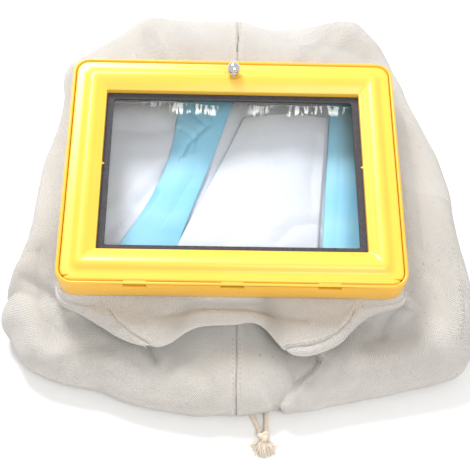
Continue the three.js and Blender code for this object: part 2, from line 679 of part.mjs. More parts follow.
// One section of the front fold, from under the tray to its lip and back under it
function frontSection(deg) {
  const column = (name) => columnAt(frontSections, name, deg, false);
  const wall = wallReach(deg);
  const lip = wall + column("lip") * cloth.flare;
  const lipUp = column("lipUp") * stand.height;
  const crease = lerp(wall, lip, column("crease"));
  const level = -tray.depth - clearance - cloth.wall / 2;
  const atFlange = (reach) => {
    const p = inPlan(deg, reach, 0);
    return p.setZ(planeHeight(p.y, level));
  };
  const rollUp = lerp(lipUp, column("creaseUp") * stand.height, 0.75);
  const curl = Math.min(3.2, (lip - wall) * 0.3);
  const curve = new THREE.CatmullRomCurve3(
    [
      atFlange(wall - cloth.flange),
      atFlange(wall - 0.5),
      inPlan(deg, crease, column("creaseUp") * stand.height),
      inPlan(deg, lerp(crease, lip, 0.6), rollUp),
      inPlan(deg, lip, lipUp),
      inPlan(deg, lip - curl, lipUp - 3.4),
    ],
    false,
    "centripetal",
  );
  return [0, 1, 1.6, 2.3, 3, 3.6, 4, 5].map((stop) => curve.getPoint(stop / 5));
}

function makeFrontFold() {
  const from = frontSections[0].deg;
  const to = frontSections[frontSections.length - 1].deg;
  return sheet(headings(from, to, 3.3).map(frontSection), cloth.wall);
}

// A tall prism over a plan outline, to cut the canvas along its seams
function cutter(outline) {
  return plate(outline, -10, stand.height * 2);
}

function chinOutline(grow) {
  const edge = ({ wallDeg, lipDeg, bend }, side) => {
    const wall = wallReach(wallDeg);
    const lip = wallReach(lipDeg) + columnAt(frontSections, "lip", lipDeg, false) * cloth.flare;
    const stops = [[wallDeg, wall - 3 * cloth.flange]];
    for (let i = 0; i <= 8; i++) {
      const share = i / 8;
      stops.push([lerp(wallDeg, lipDeg, share ** bend), lerp(wall, lip, share)]);
    }
    stops.push([lipDeg, lip + cloth.flange]);
    return stops.map(([deg, reach], i) => {
      const p = inPlan(deg, reach, 0);
      return new THREE.Vector2(p.x + side * grow * 1.4, i < 2 ? p.y : p.y - grow);
    });
  };
  const [left, right] = chinSeams;
  return [...edge(left, -1), ...edge(right, 1).reverse()];
}

function halfPlan(side) {
  const far = 2 * (trayHalf.x + cloth.flare);
  const near = seamX + (side * cloth.seamGap) / 2;
  const xs = side > 0 ? [near, far] : [-far, near];
  const corners = [
    [xs[0], -far],
    [xs[1], -far],
    [xs[1], far],
    [xs[0], far],
  ];
  return corners.map(([x, y]) => new THREE.Vector2(x, y));
}

// The back of the hood, pushed up under the window, with its near edge at the neck mouth
function backReach(deg) {
  const plain = hoodFoot(deg) - cloth.turn * 0.3;
  const s = Math.sin(rad(deg));
  const edge = mouth.front - mouth.length - hem.width - clearance - cloth.wall;
  return s < 0 ? Math.min(plain, edge / -s) : plain;
}

function hoodFoot(deg) {
  const column = (name) => columnAt(hoodSections, name, deg, true);
  return innerEllipse(deg) + (column("belly") - column("foot")) * cloth.flare;
}

function liningHeight(x, y) {
  const soft = Math.cos(x / 31 + y / 55) * Math.sin(y / 27 - x / 60);
  return planeHeight(y, -inside.depth) - inside.relief * (1 + soft);
}

function makeBack() {
  const steps = 13;
  const ground = cloth.wall * 1.5 + clearance;
  const points = [];
  for (let i = 0; i <= steps; i++) {
    const row = [];
    for (let j = 0; j <= steps; j++) {
      const u = lerp(-1, 1, j / steps);
      const v = lerp(1, -1, i / steps);
      const share = Math.max(Math.abs(u), Math.abs(v));
      const deg = (THREE.MathUtils.radToDeg(Math.atan2(v, u)) + 360) % 360;
      const border = backReach(deg);
      const flat = inPlan(deg, border * (1 - (1 - share) ** 1.25), 0);
      const front = smoothstep(Math.sin(rad(deg)), -0.75, -0.35);
      const slope = lerp(inside.frontSlope, inside.slope, front);
      const rise = smoothstep((1 - share) * border, 1, slope);
      row.push(flat.setZ(lerp(ground, liningHeight(flat.x, flat.y), rise)));
    }
    points.push(row);
  }
  return sheet(points, cloth.wall);
}

// A strip of lining on the back panel, seen through the window, crowned across its width
function makeStrip({ farA, farB, nearA, nearB, bow, far }, lift) {
  const rows = [];
  for (let i = 0; i <= 8; i++) {
    const share = i / 8;
    const row = [];
    for (let j = 0; j <= 5; j++) {
      const across = j / 5;
      const edgeA = lerp(farA, nearA, share) + bow * Math.sin(Math.PI * share);
      const edgeB = lerp(farB, nearB, share);
      const x = lerp(edgeA, edgeB, across) * openHalf.x;
      const y = lerp(far, stripNear, share) * openHalf.y;
      const crown = band.crown * Math.sin(Math.PI * across) ** 0.8;
      const base = liningHeight(x, y) + cloth.wall + band.rise;
      row.push(new THREE.Vector3(x, y, base + lift + crown));
    }
    rows.push(row);
  }
  return sheet(rows, band.wall);
}

// The hem round the neck mouth: a channel open inwards, with the drawcord in it
function sweepLoop(section, count) {
  const loop = mouthLoop(count);
  const points = [];
  const triangles = [];
  const size = section.length;
  loop.forEach((p, i) => {
    const before = loop[(i + count - 1) % count];
    const after = loop[(i + 1) % count];
    const out = new THREE.Vector2(after.y - before.y, before.x - after.x).normalize();
    for (const [off, z] of section) {
      points.push(new THREE.Vector3(p.x + out.x * off, p.y + out.y * off, z));
    }
    const next = (i + 1) % count;
    for (let k = 0; k < size; k++) {
      const m = (k + 1) % size;
      const [a, b, c, d] = [i * size + k, i * size + m, next * size + m, next * size + k];
      triangles.push(a, c, b, a, d, c);
    }
  });
  return solidOf(closedGeometry(points, triangles));
}

const hemLow = cloth.wall + clearance;
const loopSteps = 30;

function makeHem() {
  const w = hem.wall;
  const [low, high] = [hemLow, hemLow + hem.height];
  const [inner, outer] = [0, hem.width];
  const channel = sweepLoop(
    [
      [inner, low],
      [outer, low],
      [outer, high],
      [inner, high],
      [inner, high - w],
      [outer - w, high - w],
      [outer - w, low + w],
      [inner, low + w],
    ],
    loopSteps,
  );
  return channel.subtract(cordExit(cord.hemGap, low - 1, high - w, 1 - mouth.front));
}

const cordRadius = cord.diameter / 2;
const cordUp = hemLow + hem.height / 2;

function ringSection(radius, off, up, sides = 8) {
  return Array.from({ length: sides }, (_, k) => {
    const angle = (k / sides) * 2 * Math.PI;
    return [off + radius * Math.cos(angle), up + radius * Math.sin(angle)];
  });
}

// The drawcord's loop lies in the hem all the way round, up to where its two ends turn out
function makeCordLoop() {
  const off = hem.width - hem.wall - clearance - cordRadius;
  const loop = sweepLoop(ringSection(cordRadius, off, cordUp), loopSteps);
  return loop.subtract(cordExit(cord.loopGap, 0, cordUp + cord.diameter, 1 - mouth.front));
}

function makeCordEnd(route) {
  const place = ([side, front, up]) => {
    const x = cord.exitX + (side * cord.exitWidth) / 2;
    return new THREE.Vector3(x, -mouth.front - front, up);
  };
  const path = new THREE.CatmullRomCurve3(route.map(place));
  const outline = ringSection(cordRadius, 0, 0).map(([x, y]) => new THREE.Vector2(x, y));
  const shape = new THREE.Shape(outline);
  return solidOf(new THREE.ExtrudeGeometry(shape, { steps: 10, extrudePath: path }));
}

// The knot that joins the ends, with the frayed cotton spreading from it along the table
function makeKnot() {
  const x = cord.exitX + (knotPlace.side * cord.exitWidth) / 2;
  const y = -mouth.front - knotPlace.front;
  const ball = new THREE.SphereGeometry(cord.knot, 10, 6);
  ball.scale(1.1, 0.95, 0.95);
  const profile = [
    [0, 0],
    [0.42, 0],
    [1, 0.75],
    [0.85, 1],
    [0, 1.05],
  ];
  const points = profile.map(([r, h]) => new THREE.Vector2(r * cord.tuftWidth, h * cord.tuftWidth));
  const spray = new THREE.LatheGeometry(points, 10);
  spray.scale(1, 1, 0.36);
  spray.rotateX(Math.PI);
  const solid = solidOf(ball.translate(0, 0, knotPlace.up));
  return solid.add(solidOf(spray.translate(0, 0, knotPlace.up - 1))).translate([x, y, 0]);
}

// Assembly
const canvas = finish(0xe9e5e0, 0.95);
const cotton = finish(0xdccfbb, 0.9);
const model = new THREE.Group();
const frameGroup = new THREE.Group();
frameGroup.position.set(0, 0, stand.height);
frameGroup.rotation.x = stand.tilt;
model.add(frameGroup);

frameGroup.add(meshOf("back_frame", makeTray(), finish(0xf6c840, 0.4)));
frameGroup.add(meshOf("bezel", makeBezel(), finish(0xffd65c, 0.35)));
frameGroup.add(meshOf("gasket", makeGasket(), finish(0x4b4b50, 0.9)));
frameGroup.add(meshOf("window_glass", makeGlass(), finish(0xe8f2f2, 0.05)));
frameGroup.add(meshOf("window_film", makeFilm(), finish(0xf2f6f6, 0.2)));
frameGroup.add(meshOf("ball_knob", makeKnob(), finish(0xd8d8dc, 0.12, 1)));

const exitHeight = cord.diameter + 1.4;
const notch = cordExit(cord.exitWidth, -1, exitHeight, 1 - mouth.front);
const shell = makeHoodShell().subtract(notch);
model.add(meshOf("hood_left", shell.intersect(cutter(halfPlan(-1))), canvas));
model.add(meshOf("hood_right", shell.intersect(cutter(halfPlan(1))), canvas));

const front = makeFrontFold();
const chin = front.intersect(cutter(chinOutline(0)));
const cheeks = front.subtract(cutter(chinOutline(cloth.seamGap)));
model.add(meshOf("chin_panel", chin, canvas));
model.add(meshOf("cheek_fold_left", cheeks.intersect(cutter(halfPlan(-1))), canvas));
model.add(meshOf("cheek_fold_right", cheeks.intersect(cutter(halfPlan(1))), canvas));

model.add(meshOf("back_panel", makeBack(), finish(0xe2e8f4, 0.95)));
for (const strip of liningStrips) {
  const isFlap = strip.name === "lining_flap";
  const color = isFlap ? 0xe2e8f4 : 0x9ed7f2;
  model.add(meshOf(strip.name, makeStrip(strip, isFlap ? flapLift : 0), finish(color, 0.6)));
}
model.add(meshOf("neck_hem", makeHem(), canvas));
model.add(meshOf("drawcord", makeCordLoop(), cotton));

// The origin goes under the middle of the hood, the free ends of the cord left out
model.updateMatrixWorld(true);
const bounds = new THREE.Box3().setFromObject(model);
const middle = bounds.getCenter(new THREE.Vector3());
for (const [name, route] of Object.entries(endRoutes)) {
  model.add(meshOf(name, makeCordEnd(route), cotton));
}
model.add(meshOf("cord_knot", makeKnot(), cotton));
model.position.set(-middle.x, -middle.y, -bounds.min.z);

const part = new THREE.Group();
part.add(model);
export default part;
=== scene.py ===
# %% [markdown]
# # A sandblasting hood, lying on a table
# The hood is a yellow window frame in off-white canvas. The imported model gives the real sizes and
# the moving parts, and this script makes the looks around it. Shapes are given in millimetres and
# are turned to metres when a mesh is made. Materials, stitches and lights are given in metres.

# %% Load the frame
import math

import bmesh
import bpy
import numpy as np
from mathutils import Matrix, Vector


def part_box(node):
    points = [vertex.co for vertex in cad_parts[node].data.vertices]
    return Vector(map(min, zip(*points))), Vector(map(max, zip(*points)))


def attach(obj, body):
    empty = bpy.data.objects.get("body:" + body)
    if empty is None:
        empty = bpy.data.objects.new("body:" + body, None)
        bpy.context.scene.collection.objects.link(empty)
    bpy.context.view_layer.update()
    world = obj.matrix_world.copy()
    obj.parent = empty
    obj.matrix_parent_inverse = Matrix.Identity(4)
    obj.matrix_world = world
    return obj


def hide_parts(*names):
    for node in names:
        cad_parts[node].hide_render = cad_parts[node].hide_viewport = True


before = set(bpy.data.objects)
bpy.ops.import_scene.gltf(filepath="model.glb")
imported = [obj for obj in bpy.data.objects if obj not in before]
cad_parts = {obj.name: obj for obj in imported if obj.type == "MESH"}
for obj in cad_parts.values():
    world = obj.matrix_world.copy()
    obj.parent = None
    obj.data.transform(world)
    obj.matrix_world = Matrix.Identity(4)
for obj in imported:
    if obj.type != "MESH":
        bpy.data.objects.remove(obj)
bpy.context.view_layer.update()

MM = 0.001
RNG_SEED = 11

# %% [markdown]
# ## Where the window frame sits
# The frame leans back a little, because the canvas under its far side is thicker. All of the
# canvas is drawn about the window's centre, so that centre is worked out once, from the tray's box.

# %% The window's centre and its tilt
TRAY = {"width": 240.0, "height": 187.0, "corner": 12.0, "wall": 2.5, "depth": 20.0, "floor": 2.5}
STAND = 95.0
TILT = math.radians(8.6)
SIN, COS = math.sin(TILT), math.cos(TILT)
tray_low, tray_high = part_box("back_frame")
CENTRE_X = (tray_low.x + tray_high.x) / 2 / MM
CENTRE_Y = (tray_low.y + tray_high.y) / 2 / MM - TRAY["depth"] / 2 * SIN
HALF_X, HALF_Y = TRAY["width"] / 2, TRAY["height"] / 2
print("window centre", round(CENTRE_X, 2), round(CENTRE_Y, 2))


def to_part(points):
    """Points about the window's centre, in millimetres, as metres in the part's frame."""
    moved = np.asarray(points, float) + np.array([CENTRE_X, CENTRE_Y, 0.0])
    return moved * MM


def from_window(points):
    """Points in the leaning window frame, front face at z = 0, as points about its centre."""
    p = np.asarray(points, float)
    y = p[..., 1] * COS - p[..., 2] * SIN
    z = STAND + p[..., 1] * SIN + p[..., 2] * COS
    return np.stack([p[..., 0], y, z], -1)


# %% [markdown]
# ## The camera
# The photo was taken from in front and above with a long lens. Its four frame corners and four
# window corners fix the camera, so it is written here as a place, three angles and a lens.

# %% Camera
CAMERA = {"x": -15.4, "y": -459.4, "z": 644.2, "up": 53.99, "turn": -2.40, "roll": 2.84, "lens": 76.6}
camera_data = bpy.data.cameras.new("camera")
camera_data.lens = CAMERA["lens"]
camera_data.sensor_width = 36.0
camera = bpy.data.objects.new("camera", camera_data)
bpy.context.scene.collection.objects.link(camera)
lean = Matrix.Rotation(math.radians(90 - CAMERA["up"]), 4, "X")
turned = Matrix.Rotation(math.radians(CAMERA["turn"]), 4, "Z") @ lean
turned = turned @ Matrix.Rotation(math.radians(CAMERA["roll"]), 4, "Z")
place = to_part([CAMERA["x"], CAMERA["y"], CAMERA["z"]])
camera.matrix_world = Matrix.Translation(Vector(place)) @ turned
bpy.context.scene.camera = camera
print("camera at", [round(v, 3) for v in place])

# %% [markdown]
# ## Shader maths as Python
# A node tree is hard to read as a list of links. This small class wraps a socket, so that sums and
# products of masks are written as ordinary expressions and the Math nodes appear by themselves.


# %% A socket that does maths
def put(tree, slot, value):
    """Feeds a node's socket with a link, or with a plain value."""
    if isinstance(value, Value):
        tree.links.new(value.socket, slot)
    else:
        slot.default_value = value


class Value:
    def __init__(self, tree, socket):
        self.tree = tree
        self.socket = socket

    def _math(self, operation, *values, clamp=False):
        node = self.tree.nodes.new("ShaderNodeMath")
        node.operation = operation
        node.use_clamp = clamp
        for slot, value in zip(node.inputs, values):
            put(self.tree, slot, value)
        return Value(self.tree, node.outputs[0])

    def __add__(self, other):
        return self._math("ADD", self, other)

    def __radd__(self, other):
        return self._math("ADD", other, self)

    def __sub__(self, other):
        return self._math("SUBTRACT", self, other)

    def __rsub__(self, other):
        return self._math("SUBTRACT", other, self)

    def __mul__(self, other):
        return self._math("MULTIPLY", self, other)

    def __rmul__(self, other):
        return self._math("MULTIPLY", other, self)

    def sine(self):
        return self._math("SINE", self)

    def clamp(self):
        return self._math("ADD", self, 0.0, clamp=True)

    def above(self, edge, soft):
        """0 below edge, 1 above edge plus soft."""
        return ((self - edge) * (1.0 / soft)).clamp()


# %% A material and its nodes
class Material:
    """A material with one Principled shader, and the nodes that feed it."""

    def __init__(self, name, **constants):
        self.material = bpy.data.materials.new(name)
        self.material.use_nodes = True
        self.tree = self.material.node_tree
        self.shader = self.tree.nodes["Principled BSDF"]
        for socket, value in constants.items():
            self.shader.inputs[socket.replace("_", " ")].default_value = value

    def node(self, kind, settings=(), **inputs):
        made = self.tree.nodes.new(kind)
        for key, value in dict(settings).items():
            setattr(made, key, value)
        for key, value in inputs.items():
            put(self.tree, made.inputs[key.replace("_", " ")], value)
        return made

    def value(self, node, output=0):
        return Value(self.tree, node.outputs[output])

    def object_place(self):
        return self.value(self.node("ShaderNodeTexCoord"), "Object")

    def uv_place(self):
        return self.value(self.node("ShaderNodeUVMap", {"uv_map": "UVMap"}))

    def scaled(self, place, scale):
        return self.value(self.node("ShaderNodeMapping", Vector=place, Scale=scale))

    def noise(self, place, scale, detail=3.0, roughness=0.5):
        made = self.node("ShaderNodeTexNoise", Vector=place, Scale=scale, Detail=detail, Roughness=roughness)
        return self.value(made, "Fac")

    def split(self, place):
        made = self.node("ShaderNodeSeparateXYZ", Vector=place)
        return [self.value(made, i) for i in range(3)]

    def mix(self, share, first, second):
        made = self.node("ShaderNodeMix", {"data_type": "RGBA"})
        slots = [s for s in made.inputs if s.type == "RGBA"]
        put(self.tree, made.inputs[0], share)
        for slot, value in zip(slots, (first, second)):
            put(self.tree, slot, value if isinstance(value, Value) else (*value, 1.0))
        return Value(self.tree, [s for s in made.outputs if s.type == "RGBA"][0])

    def feed(self, socket, value):
        put(self.tree, self.shader.inputs[socket], value)

    def bump(self, height, distance, strength=1.0):
        made = self.node("ShaderNodeBump", Height=height, Distance=distance, Strength=strength)
        self.feed("Normal", self.value(made))


# %% Colours
def srgb(red, green, blue):
    """A colour read as 0 to 255, as the linear values that Blender's sockets hold."""
    def linear(c):
        c /= 255
        return c / 12.92 if c <= 0.04045 else ((c + 0.055) / 1.055) ** 2.4
    return tuple(linear(c) for c in (red, green, blue))


# %% [markdown]
# ## Canvas and lining cloth
# Cotton duck is a plain weave of thick yarns, so at arm's length it shows a fine basket of small
# bumps. The weave is made from two sines along the cloth's own directions, which each piece carries
# as a UV map in metres, so the yarns bend with the folds. Noise breaks up the yarns' thickness, and
# a few darker specks are the seed husks that unbleached cotton keeps.


# %% Canvas
def cloth_material(name, color, shade, pitch, depth, specks, sheen, roughness=0.92):
    m = Material(name, Roughness=roughness, Sheen_Weight=sheen, Sheen_Roughness=0.5, Specular_IOR_Level=0.25)
    place = m.uv_place()
    u, v, _ = m.split(place)
    wobble = m.noise(place, 55.0, 2.0) * (pitch * 1.6)
    turn = 2 * math.pi / pitch
    warp = ((u + wobble) * turn).sine()
    weft = ((v + wobble) * turn).sine()
    basket = warp * weft
    yarn = m.noise(m.scaled(place, (1.0, 0.16, 1.0)), 900.0, 2.0)
    cross = m.noise(m.scaled(place, (0.16, 1.0, 1.0)), 900.0, 2.0)
    height = basket * 0.5 + yarn * 0.6 + cross * 0.6
    broad = m.noise(place, 14.0, 3.0).above(0.3, 0.5)
    tone = m.mix(broad, shade, color)
    # The low parts of the weave take the darker colour. This is partly the yarns' own uneven tone and partly
    # painted shade in the hollows where the yarns cross.
    fine = (basket * 0.5 + 0.5) * 0.35 + (yarn * 0.5 + cross * 0.5) * 0.65
    tone = m.mix(fine.above(0.22, 0.5), shade, tone)
    speck = m.noise(place, 420.0, 1.0).above(0.735, 0.02) * specks
    tone = m.mix(speck, tone, tuple(c * 0.45 for c in shade))
    m.feed("Base Color", tone)
    m.bump(height, depth)
    return m.material


canvas = cloth_material(
    "canvas", srgb(253, 250, 246), srgb(234, 229, 222),
    pitch=0.0015, depth=0.0011, specks=0.6, sheen=0.1,
)
white_lining = cloth_material(
    "white lining", srgb(244, 248, 253), srgb(224, 232, 246),
    pitch=0.0012, depth=0.0003, specks=0.0, sheen=0.1,
)
print("cloth", canvas.name, white_lining.name)

# %% [markdown]
# ## Satin, cord, plastic, foam, glass and chrome
# The light blue strips are a smooth satin, so they have no basket weave, only a faint rib and a soft
# gloss. The yellow plastic is moulded: a little coat, and a very fine orange peel that only shows
# in its highlights. Foam is matt with open pores.


# %% Satin and cotton cord
def satin_material():
    m = Material("blue satin", Roughness=0.55, Sheen_Weight=0.2, Sheen_Roughness=0.35)
    place = m.uv_place()
    broad = m.noise(m.scaled(place, (1.0, 0.35, 1.0)), 26.0, 3.0)
    m.feed("Base Color", m.mix(broad.above(0.3, 0.45), srgb(118, 202, 240), srgb(156, 219, 247)))
    _, across, _ = m.split(place)
    rib_pitch = 0.0009
    rib = (across * (2 * math.pi / rib_pitch)).sine() * 0.2
    m.bump(rib + m.noise(place, 260.0, 2.0), 0.00012)
    return m.material


def cotton_material():
    m = Material("cotton cord", Roughness=0.95, Sheen_Weight=0.25, Specular_IOR_Level=0.2)
    place = m.object_place()
    fibre = m.noise(place, 1400.0, 3.0)
    m.feed("Base Color", m.mix(fibre.above(0.3, 0.4), srgb(214, 196, 172), srgb(240, 231, 218)))
    m.bump(fibre, 0.0003)
    return m.material


blue_satin = satin_material()
cotton = cotton_material()
print("cloth and cord", blue_satin.name, cotton.name)


# %% Plastic, foam, glass, film and chrome
def plastic_material(name, color, dark):
    m = Material(name, Roughness=0.34, Coat_Weight=0.25, Coat_Roughness=0.22, Specular_IOR_Level=0.5)
    place = m.object_place()
    broad = m.noise(place, 22.0, 3.0)
    m.feed("Base Color", m.mix(broad.above(0.25, 0.6), dark, color))
    handled = m.noise(place, 90.0, 4.0, 0.6)
    m.feed("Roughness", handled * 0.14 + 0.29)
    m.bump(m.noise(place, 1500.0, 2.0), 0.00003, 0.7)
    return m.material


def foam_material():
    m = Material("grey foam", Roughness=0.95, Specular_IOR_Level=0.2)
    place = m.object_place()
    pores = m.noise(place, 1600.0, 2.0)
    m.feed("Base Color", m.mix(pores.above(0.35, 0.3), srgb(58, 57, 62), srgb(92, 91, 97)))
    m.bump(pores, 0.0004)
    return m.material


def glass_material():
    m = Material("clear pane", Base_Color=(0.92, 0.97, 0.96, 1.0), Roughness=0.03, Specular_IOR_Level=0.5)
    place = m.object_place()
    m.feed("Alpha", m.noise(place, 30.0, 3.0) * 0.01 + 0.015)
    return m.material


def film_material():
    m = Material("clear film", Base_Color=(0.9, 0.94, 0.94, 1.0), Roughness=0.12)
    place = m.uv_place()
    _, across, _ = m.split(place)
    strip = (1.0 - (across * (1.0 / 0.0016)).clamp()) * 0.5
    drips = m.noise(m.scaled(place, (1.0, 0.22, 1.0)), 330.0, 3.0).above(0.47, 0.1)
    reach = m.noise(place, 60.0, 2.0) * 0.016
    near_edge = (1.0 - ((across - reach) * (1.0 / 0.002)).clamp())
    patch = m.noise(place, 24.0, 1.0).above(0.44, 0.08)
    glue = (drips * near_edge * patch * 0.95).clamp()
    m.feed("Alpha", (strip + glue + 0.008).clamp())
    m.feed("Roughness", glue * 0.6 + 0.1)
    return m.material


def chrome_material():
    m = Material("chrome", Metallic=1.0, Base_Color=(*srgb(226, 227, 232), 1.0))
    place = m.object_place()
    m.feed("Roughness", m.noise(place, 700.0, 3.0) * 0.08 + 0.05)
    return m.material


bezel_yellow = plastic_material("yellow plastic", srgb(252, 205, 78), srgb(250, 200, 70))
# The tray takes the bezel's yellow made darker and more orange. That is painted shade for its outer wall,
# which faces away from the light.
tray_yellow_with_shade = plastic_material("yellow plastic of the tray with painted shade", srgb(246, 190, 62), srgb(242, 184, 54))
foam = foam_material()
clear_pane = glass_material()
clear_film = film_material()
chrome = chrome_material()
print("materials", len(bpy.data.materials))

# %% [markdown]
# ## Meshes from grids of points
# Most pieces here are grids: rows of points that run across the cloth, repeated along it. One
# helper turns a grid into a mesh with a UV map in metres, and a Solidify modifier gives the cloth
# its thickness once the surface is right.


# %% Grid helpers
def new_object(name, mesh, material, smooth=True):
    made = bpy.data.objects.new(name, mesh)
    bpy.context.scene.collection.objects.link(made)
    mesh.materials.append(material)
    if smooth:
        mesh.shade_smooth()
    return made


def length_along(points, axis):
    """Running length of a grid of points along one of its two directions, in millimetres."""
    step = np.linalg.norm(np.diff(points, axis=axis), axis=-1)
    first = np.zeros_like(np.take(step, [0], axis=axis))
    return np.cumsum(np.concatenate([first, step], axis=axis), axis=axis)


def grid_mesh(name, points, closed=False):
    """A mesh over points[row, column]. closed joins the last row to the first."""
    rows, columns, _ = points.shape
    u = length_along(points, 0).mean(axis=1, keepdims=True) * np.ones((1, columns))
    v = length_along(points, 1)
    v = v - v[:, columns // 2:columns // 2 + 1]
    vertices = to_part(points).reshape(-1, 3)
    i, j = np.meshgrid(np.arange(rows if closed else rows - 1), np.arange(columns - 1), indexing="ij")
    k = (i + 1) % rows
    faces = np.stack([i * columns + j, i * columns + j + 1, k * columns + j + 1, k * columns + j], -1)
    mesh = bpy.data.meshes.new(name)
    mesh.from_pydata(vertices.tolist(), [], faces.reshape(-1, 4).tolist())
    layer = mesh.uv_layers.new(name="UVMap")
    step = u[1, 0] - u[0, 0]
    wide = np.stack([u[i, j], u[i, j + 1], u[k, j + 1], u[k, j]], -1).reshape(-1, 4)
    wrap = (k < i).reshape(-1)
    wide[wrap, 2:] = wide[wrap, :2] + step
    tall = np.stack([v[i, j], v[i, j + 1], v[k, j + 1], v[k, j]], -1).reshape(-1, 4)
    layer.data.foreach_set("uv", (np.stack([wide, tall], -1).reshape(-1) * MM).astype(np.float32))
    mesh.update()
    return mesh


def grid_normals(points, closed=False):
    if closed:
        across = np.roll(points, -1, 0) - np.roll(points, 1, 0)
    else:
        across = np.gradient(points, axis=0)
    down = np.gradient(points, axis=1)
    normal = np.cross(down, across)
    return normal / np.maximum(np.linalg.norm(normal, axis=-1, keepdims=True), 1e-9)


# %% Thickness of cloth
def thicken(made, wall):
    """Gives a cloth surface its thickness, half to each side, and leaves a plain mesh."""
    modifier = made.modifiers.new("wall", "SOLIDIFY")
    modifier.thickness = wall * MM
    modifier.offset = 0.0
    modifier.use_even_offset = False
    apply_modifiers(made)


def apply_modifiers(made):
    """Puts the evaluated mesh in the object's place, so no modifier is left."""
    graph = bpy.context.evaluated_depsgraph_get()
    graph.update()
    finished = bpy.data.meshes.new_from_object(made.evaluated_get(graph), depsgraph=graph)
    old = made.data
    made.modifiers.clear()
    made.data = finished
    bpy.data.meshes.remove(old)


# %% Easing and ripples
def smoothstep(x, low, high):
    """0 below low, 1 above high, and a soft rise between."""
    t = np.clip((np.asarray(x, float) - low) / (high - low), 0, 1)
    return t * t * (3 - 2 * t)


def lerp(a, b, t):
    return a + (b - a) * t


def ripple(x, y, seed, waves=9, longest=90.0, shortest=24.0):
    """Soft uneven relief between -1 and 1: waves of mixed length and heading, the same each run."""
    rng = np.random.default_rng(seed)
    total = np.zeros_like(x, dtype=float)
    weight = 0.0
    for _ in range(waves):
        size = rng.uniform(shortest, longest)
        heading = rng.uniform(0, math.pi)
        phase = rng.uniform(0, 2 * math.pi)
        bend = 6 * np.sin((x * math.sin(heading) - y * math.cos(heading)) / size)
        turns = (x * math.cos(heading) + y * math.sin(heading) + bend) * 2 * math.pi / size
        total += size / longest * np.sin(turns + phase)
        weight += size / longest
    return total / weight * 1.6


# %% [markdown]
# ## The form of the canvas
# The hood hangs from the tray all the way round. Each heading about the window has one section:
# out from under the tray, over a crest, round the belly, down to the foot and in under itself. A
# short table of headings holds each section's reach and heights, and a smooth curve joins them.

# %% Sections of the hood
FLARE = 100.0
FLANGE = 8.0
WALL = 1.6
TURN = 18.0
CLEAR = 0.3
SECTIONS = [
    # heading, belly, belly up, crest up, foot: reaches are shares of FLARE, heights are shares of STAND
    (0, 0.47, 0.46, 0.70, 0.13), (15, 0.51, 0.48, 0.72, 0.13), (28, 0.55, 0.50, 0.78, 0.14),
    (38, 0.66, 0.53, 0.84, 0.15), (46, 0.83, 0.58, 0.92, 0.16), (54, 0.99, 0.60, 0.98, 0.18),
    (59, 1.09, 0.62, 1.00, 0.24), (67, 0.90, 0.56, 0.98, 0.18), (77, 0.87, 0.54, 0.97, 0.16),
    (89, 0.86, 0.54, 0.98, 0.16), (101, 0.88, 0.56, 0.99, 0.16), (112, 0.98, 0.60, 1.00, 0.18),
    (121, 0.84, 0.60, 0.98, 0.17), (130, 0.79, 0.60, 0.93, 0.16), (138, 0.74, 0.58, 0.88, 0.16),
    (145, 0.53, 0.54, 0.82, 0.15), (155, 0.36, 0.50, 0.76, 0.13), (167, 0.29, 0.47, 0.72, 0.12),
    (180, 0.26, 0.45, 0.69, 0.12), (192, 0.34, 0.42, 0.66, 0.13), (200, 0.50, 0.34, 0.60, 0.13),
    (206, 0.71, 0.22, 0.54, 0.12), (212, 0.74, 0.20, 0.48, 0.10), (219, 0.79, 0.19, 0.40, 0.10),
    (227, 0.735, 0.18, 0.38, 0.10), (236, 0.64, 0.17, 0.37, 0.10), (244, 0.625, 0.17, 0.37, 0.10),
    (253, 0.615, 0.17, 0.38, 0.10), (262, 0.61, 0.17, 0.40, 0.10), (271, 0.595, 0.17, 0.40, 0.10),
    (279, 0.585, 0.17, 0.40, 0.09), (285, 0.585, 0.17, 0.38, 0.09), (292, 0.62, 0.17, 0.37, 0.10),
    (300, 0.66, 0.18, 0.37, 0.10), (309, 0.735, 0.19, 0.38, 0.10), (316, 0.83, 0.20, 0.40, 0.10),
    (323, 0.95, 0.22, 0.45, 0.12), (330, 0.92, 0.25, 0.52, 0.12), (337, 0.78, 0.30, 0.58, 0.13),
    (345, 0.62, 0.36, 0.63, 0.13), (353, 0.51, 0.42, 0.67, 0.13),
]
FRONT = [
    # heading, lip, lip up, crease, crease up: the crease is a share of the way from the tray to the lip
    (213, 0.03, 0.585, 0.50, 0.600), (218, 0.05, 0.540, 0.50, 0.585), (223, 0.11, 0.520, 0.50, 0.580),
    (229, 0.20, 0.505, 0.45, 0.585), (236, 0.29, 0.500, 0.40, 0.585), (245, 0.335, 0.500, 0.30, 0.580),
    (250, 0.31, 0.510, 0.20, 0.575), (254, 0.22, 0.530, 0.16, 0.575), (259, 0.16, 0.530, 0.15, 0.575),
    (271, 0.14, 0.530, 0.15, 0.575), (279, 0.125, 0.535, 0.18, 0.575), (283, 0.19, 0.530, 0.20, 0.575),
    (286.5, 0.33, 0.510, 0.22, 0.575), (291, 0.39, 0.500, 0.26, 0.580), (297, 0.37, 0.500, 0.30, 0.585),
    (303, 0.31, 0.505, 0.40, 0.590), (309, 0.20, 0.520, 0.45, 0.600), (315, 0.10, 0.540, 0.50, 0.605),
    (321, 0.05, 0.580, 0.50, 0.610), (327, 0.03, 0.610, 0.50, 0.620),
]


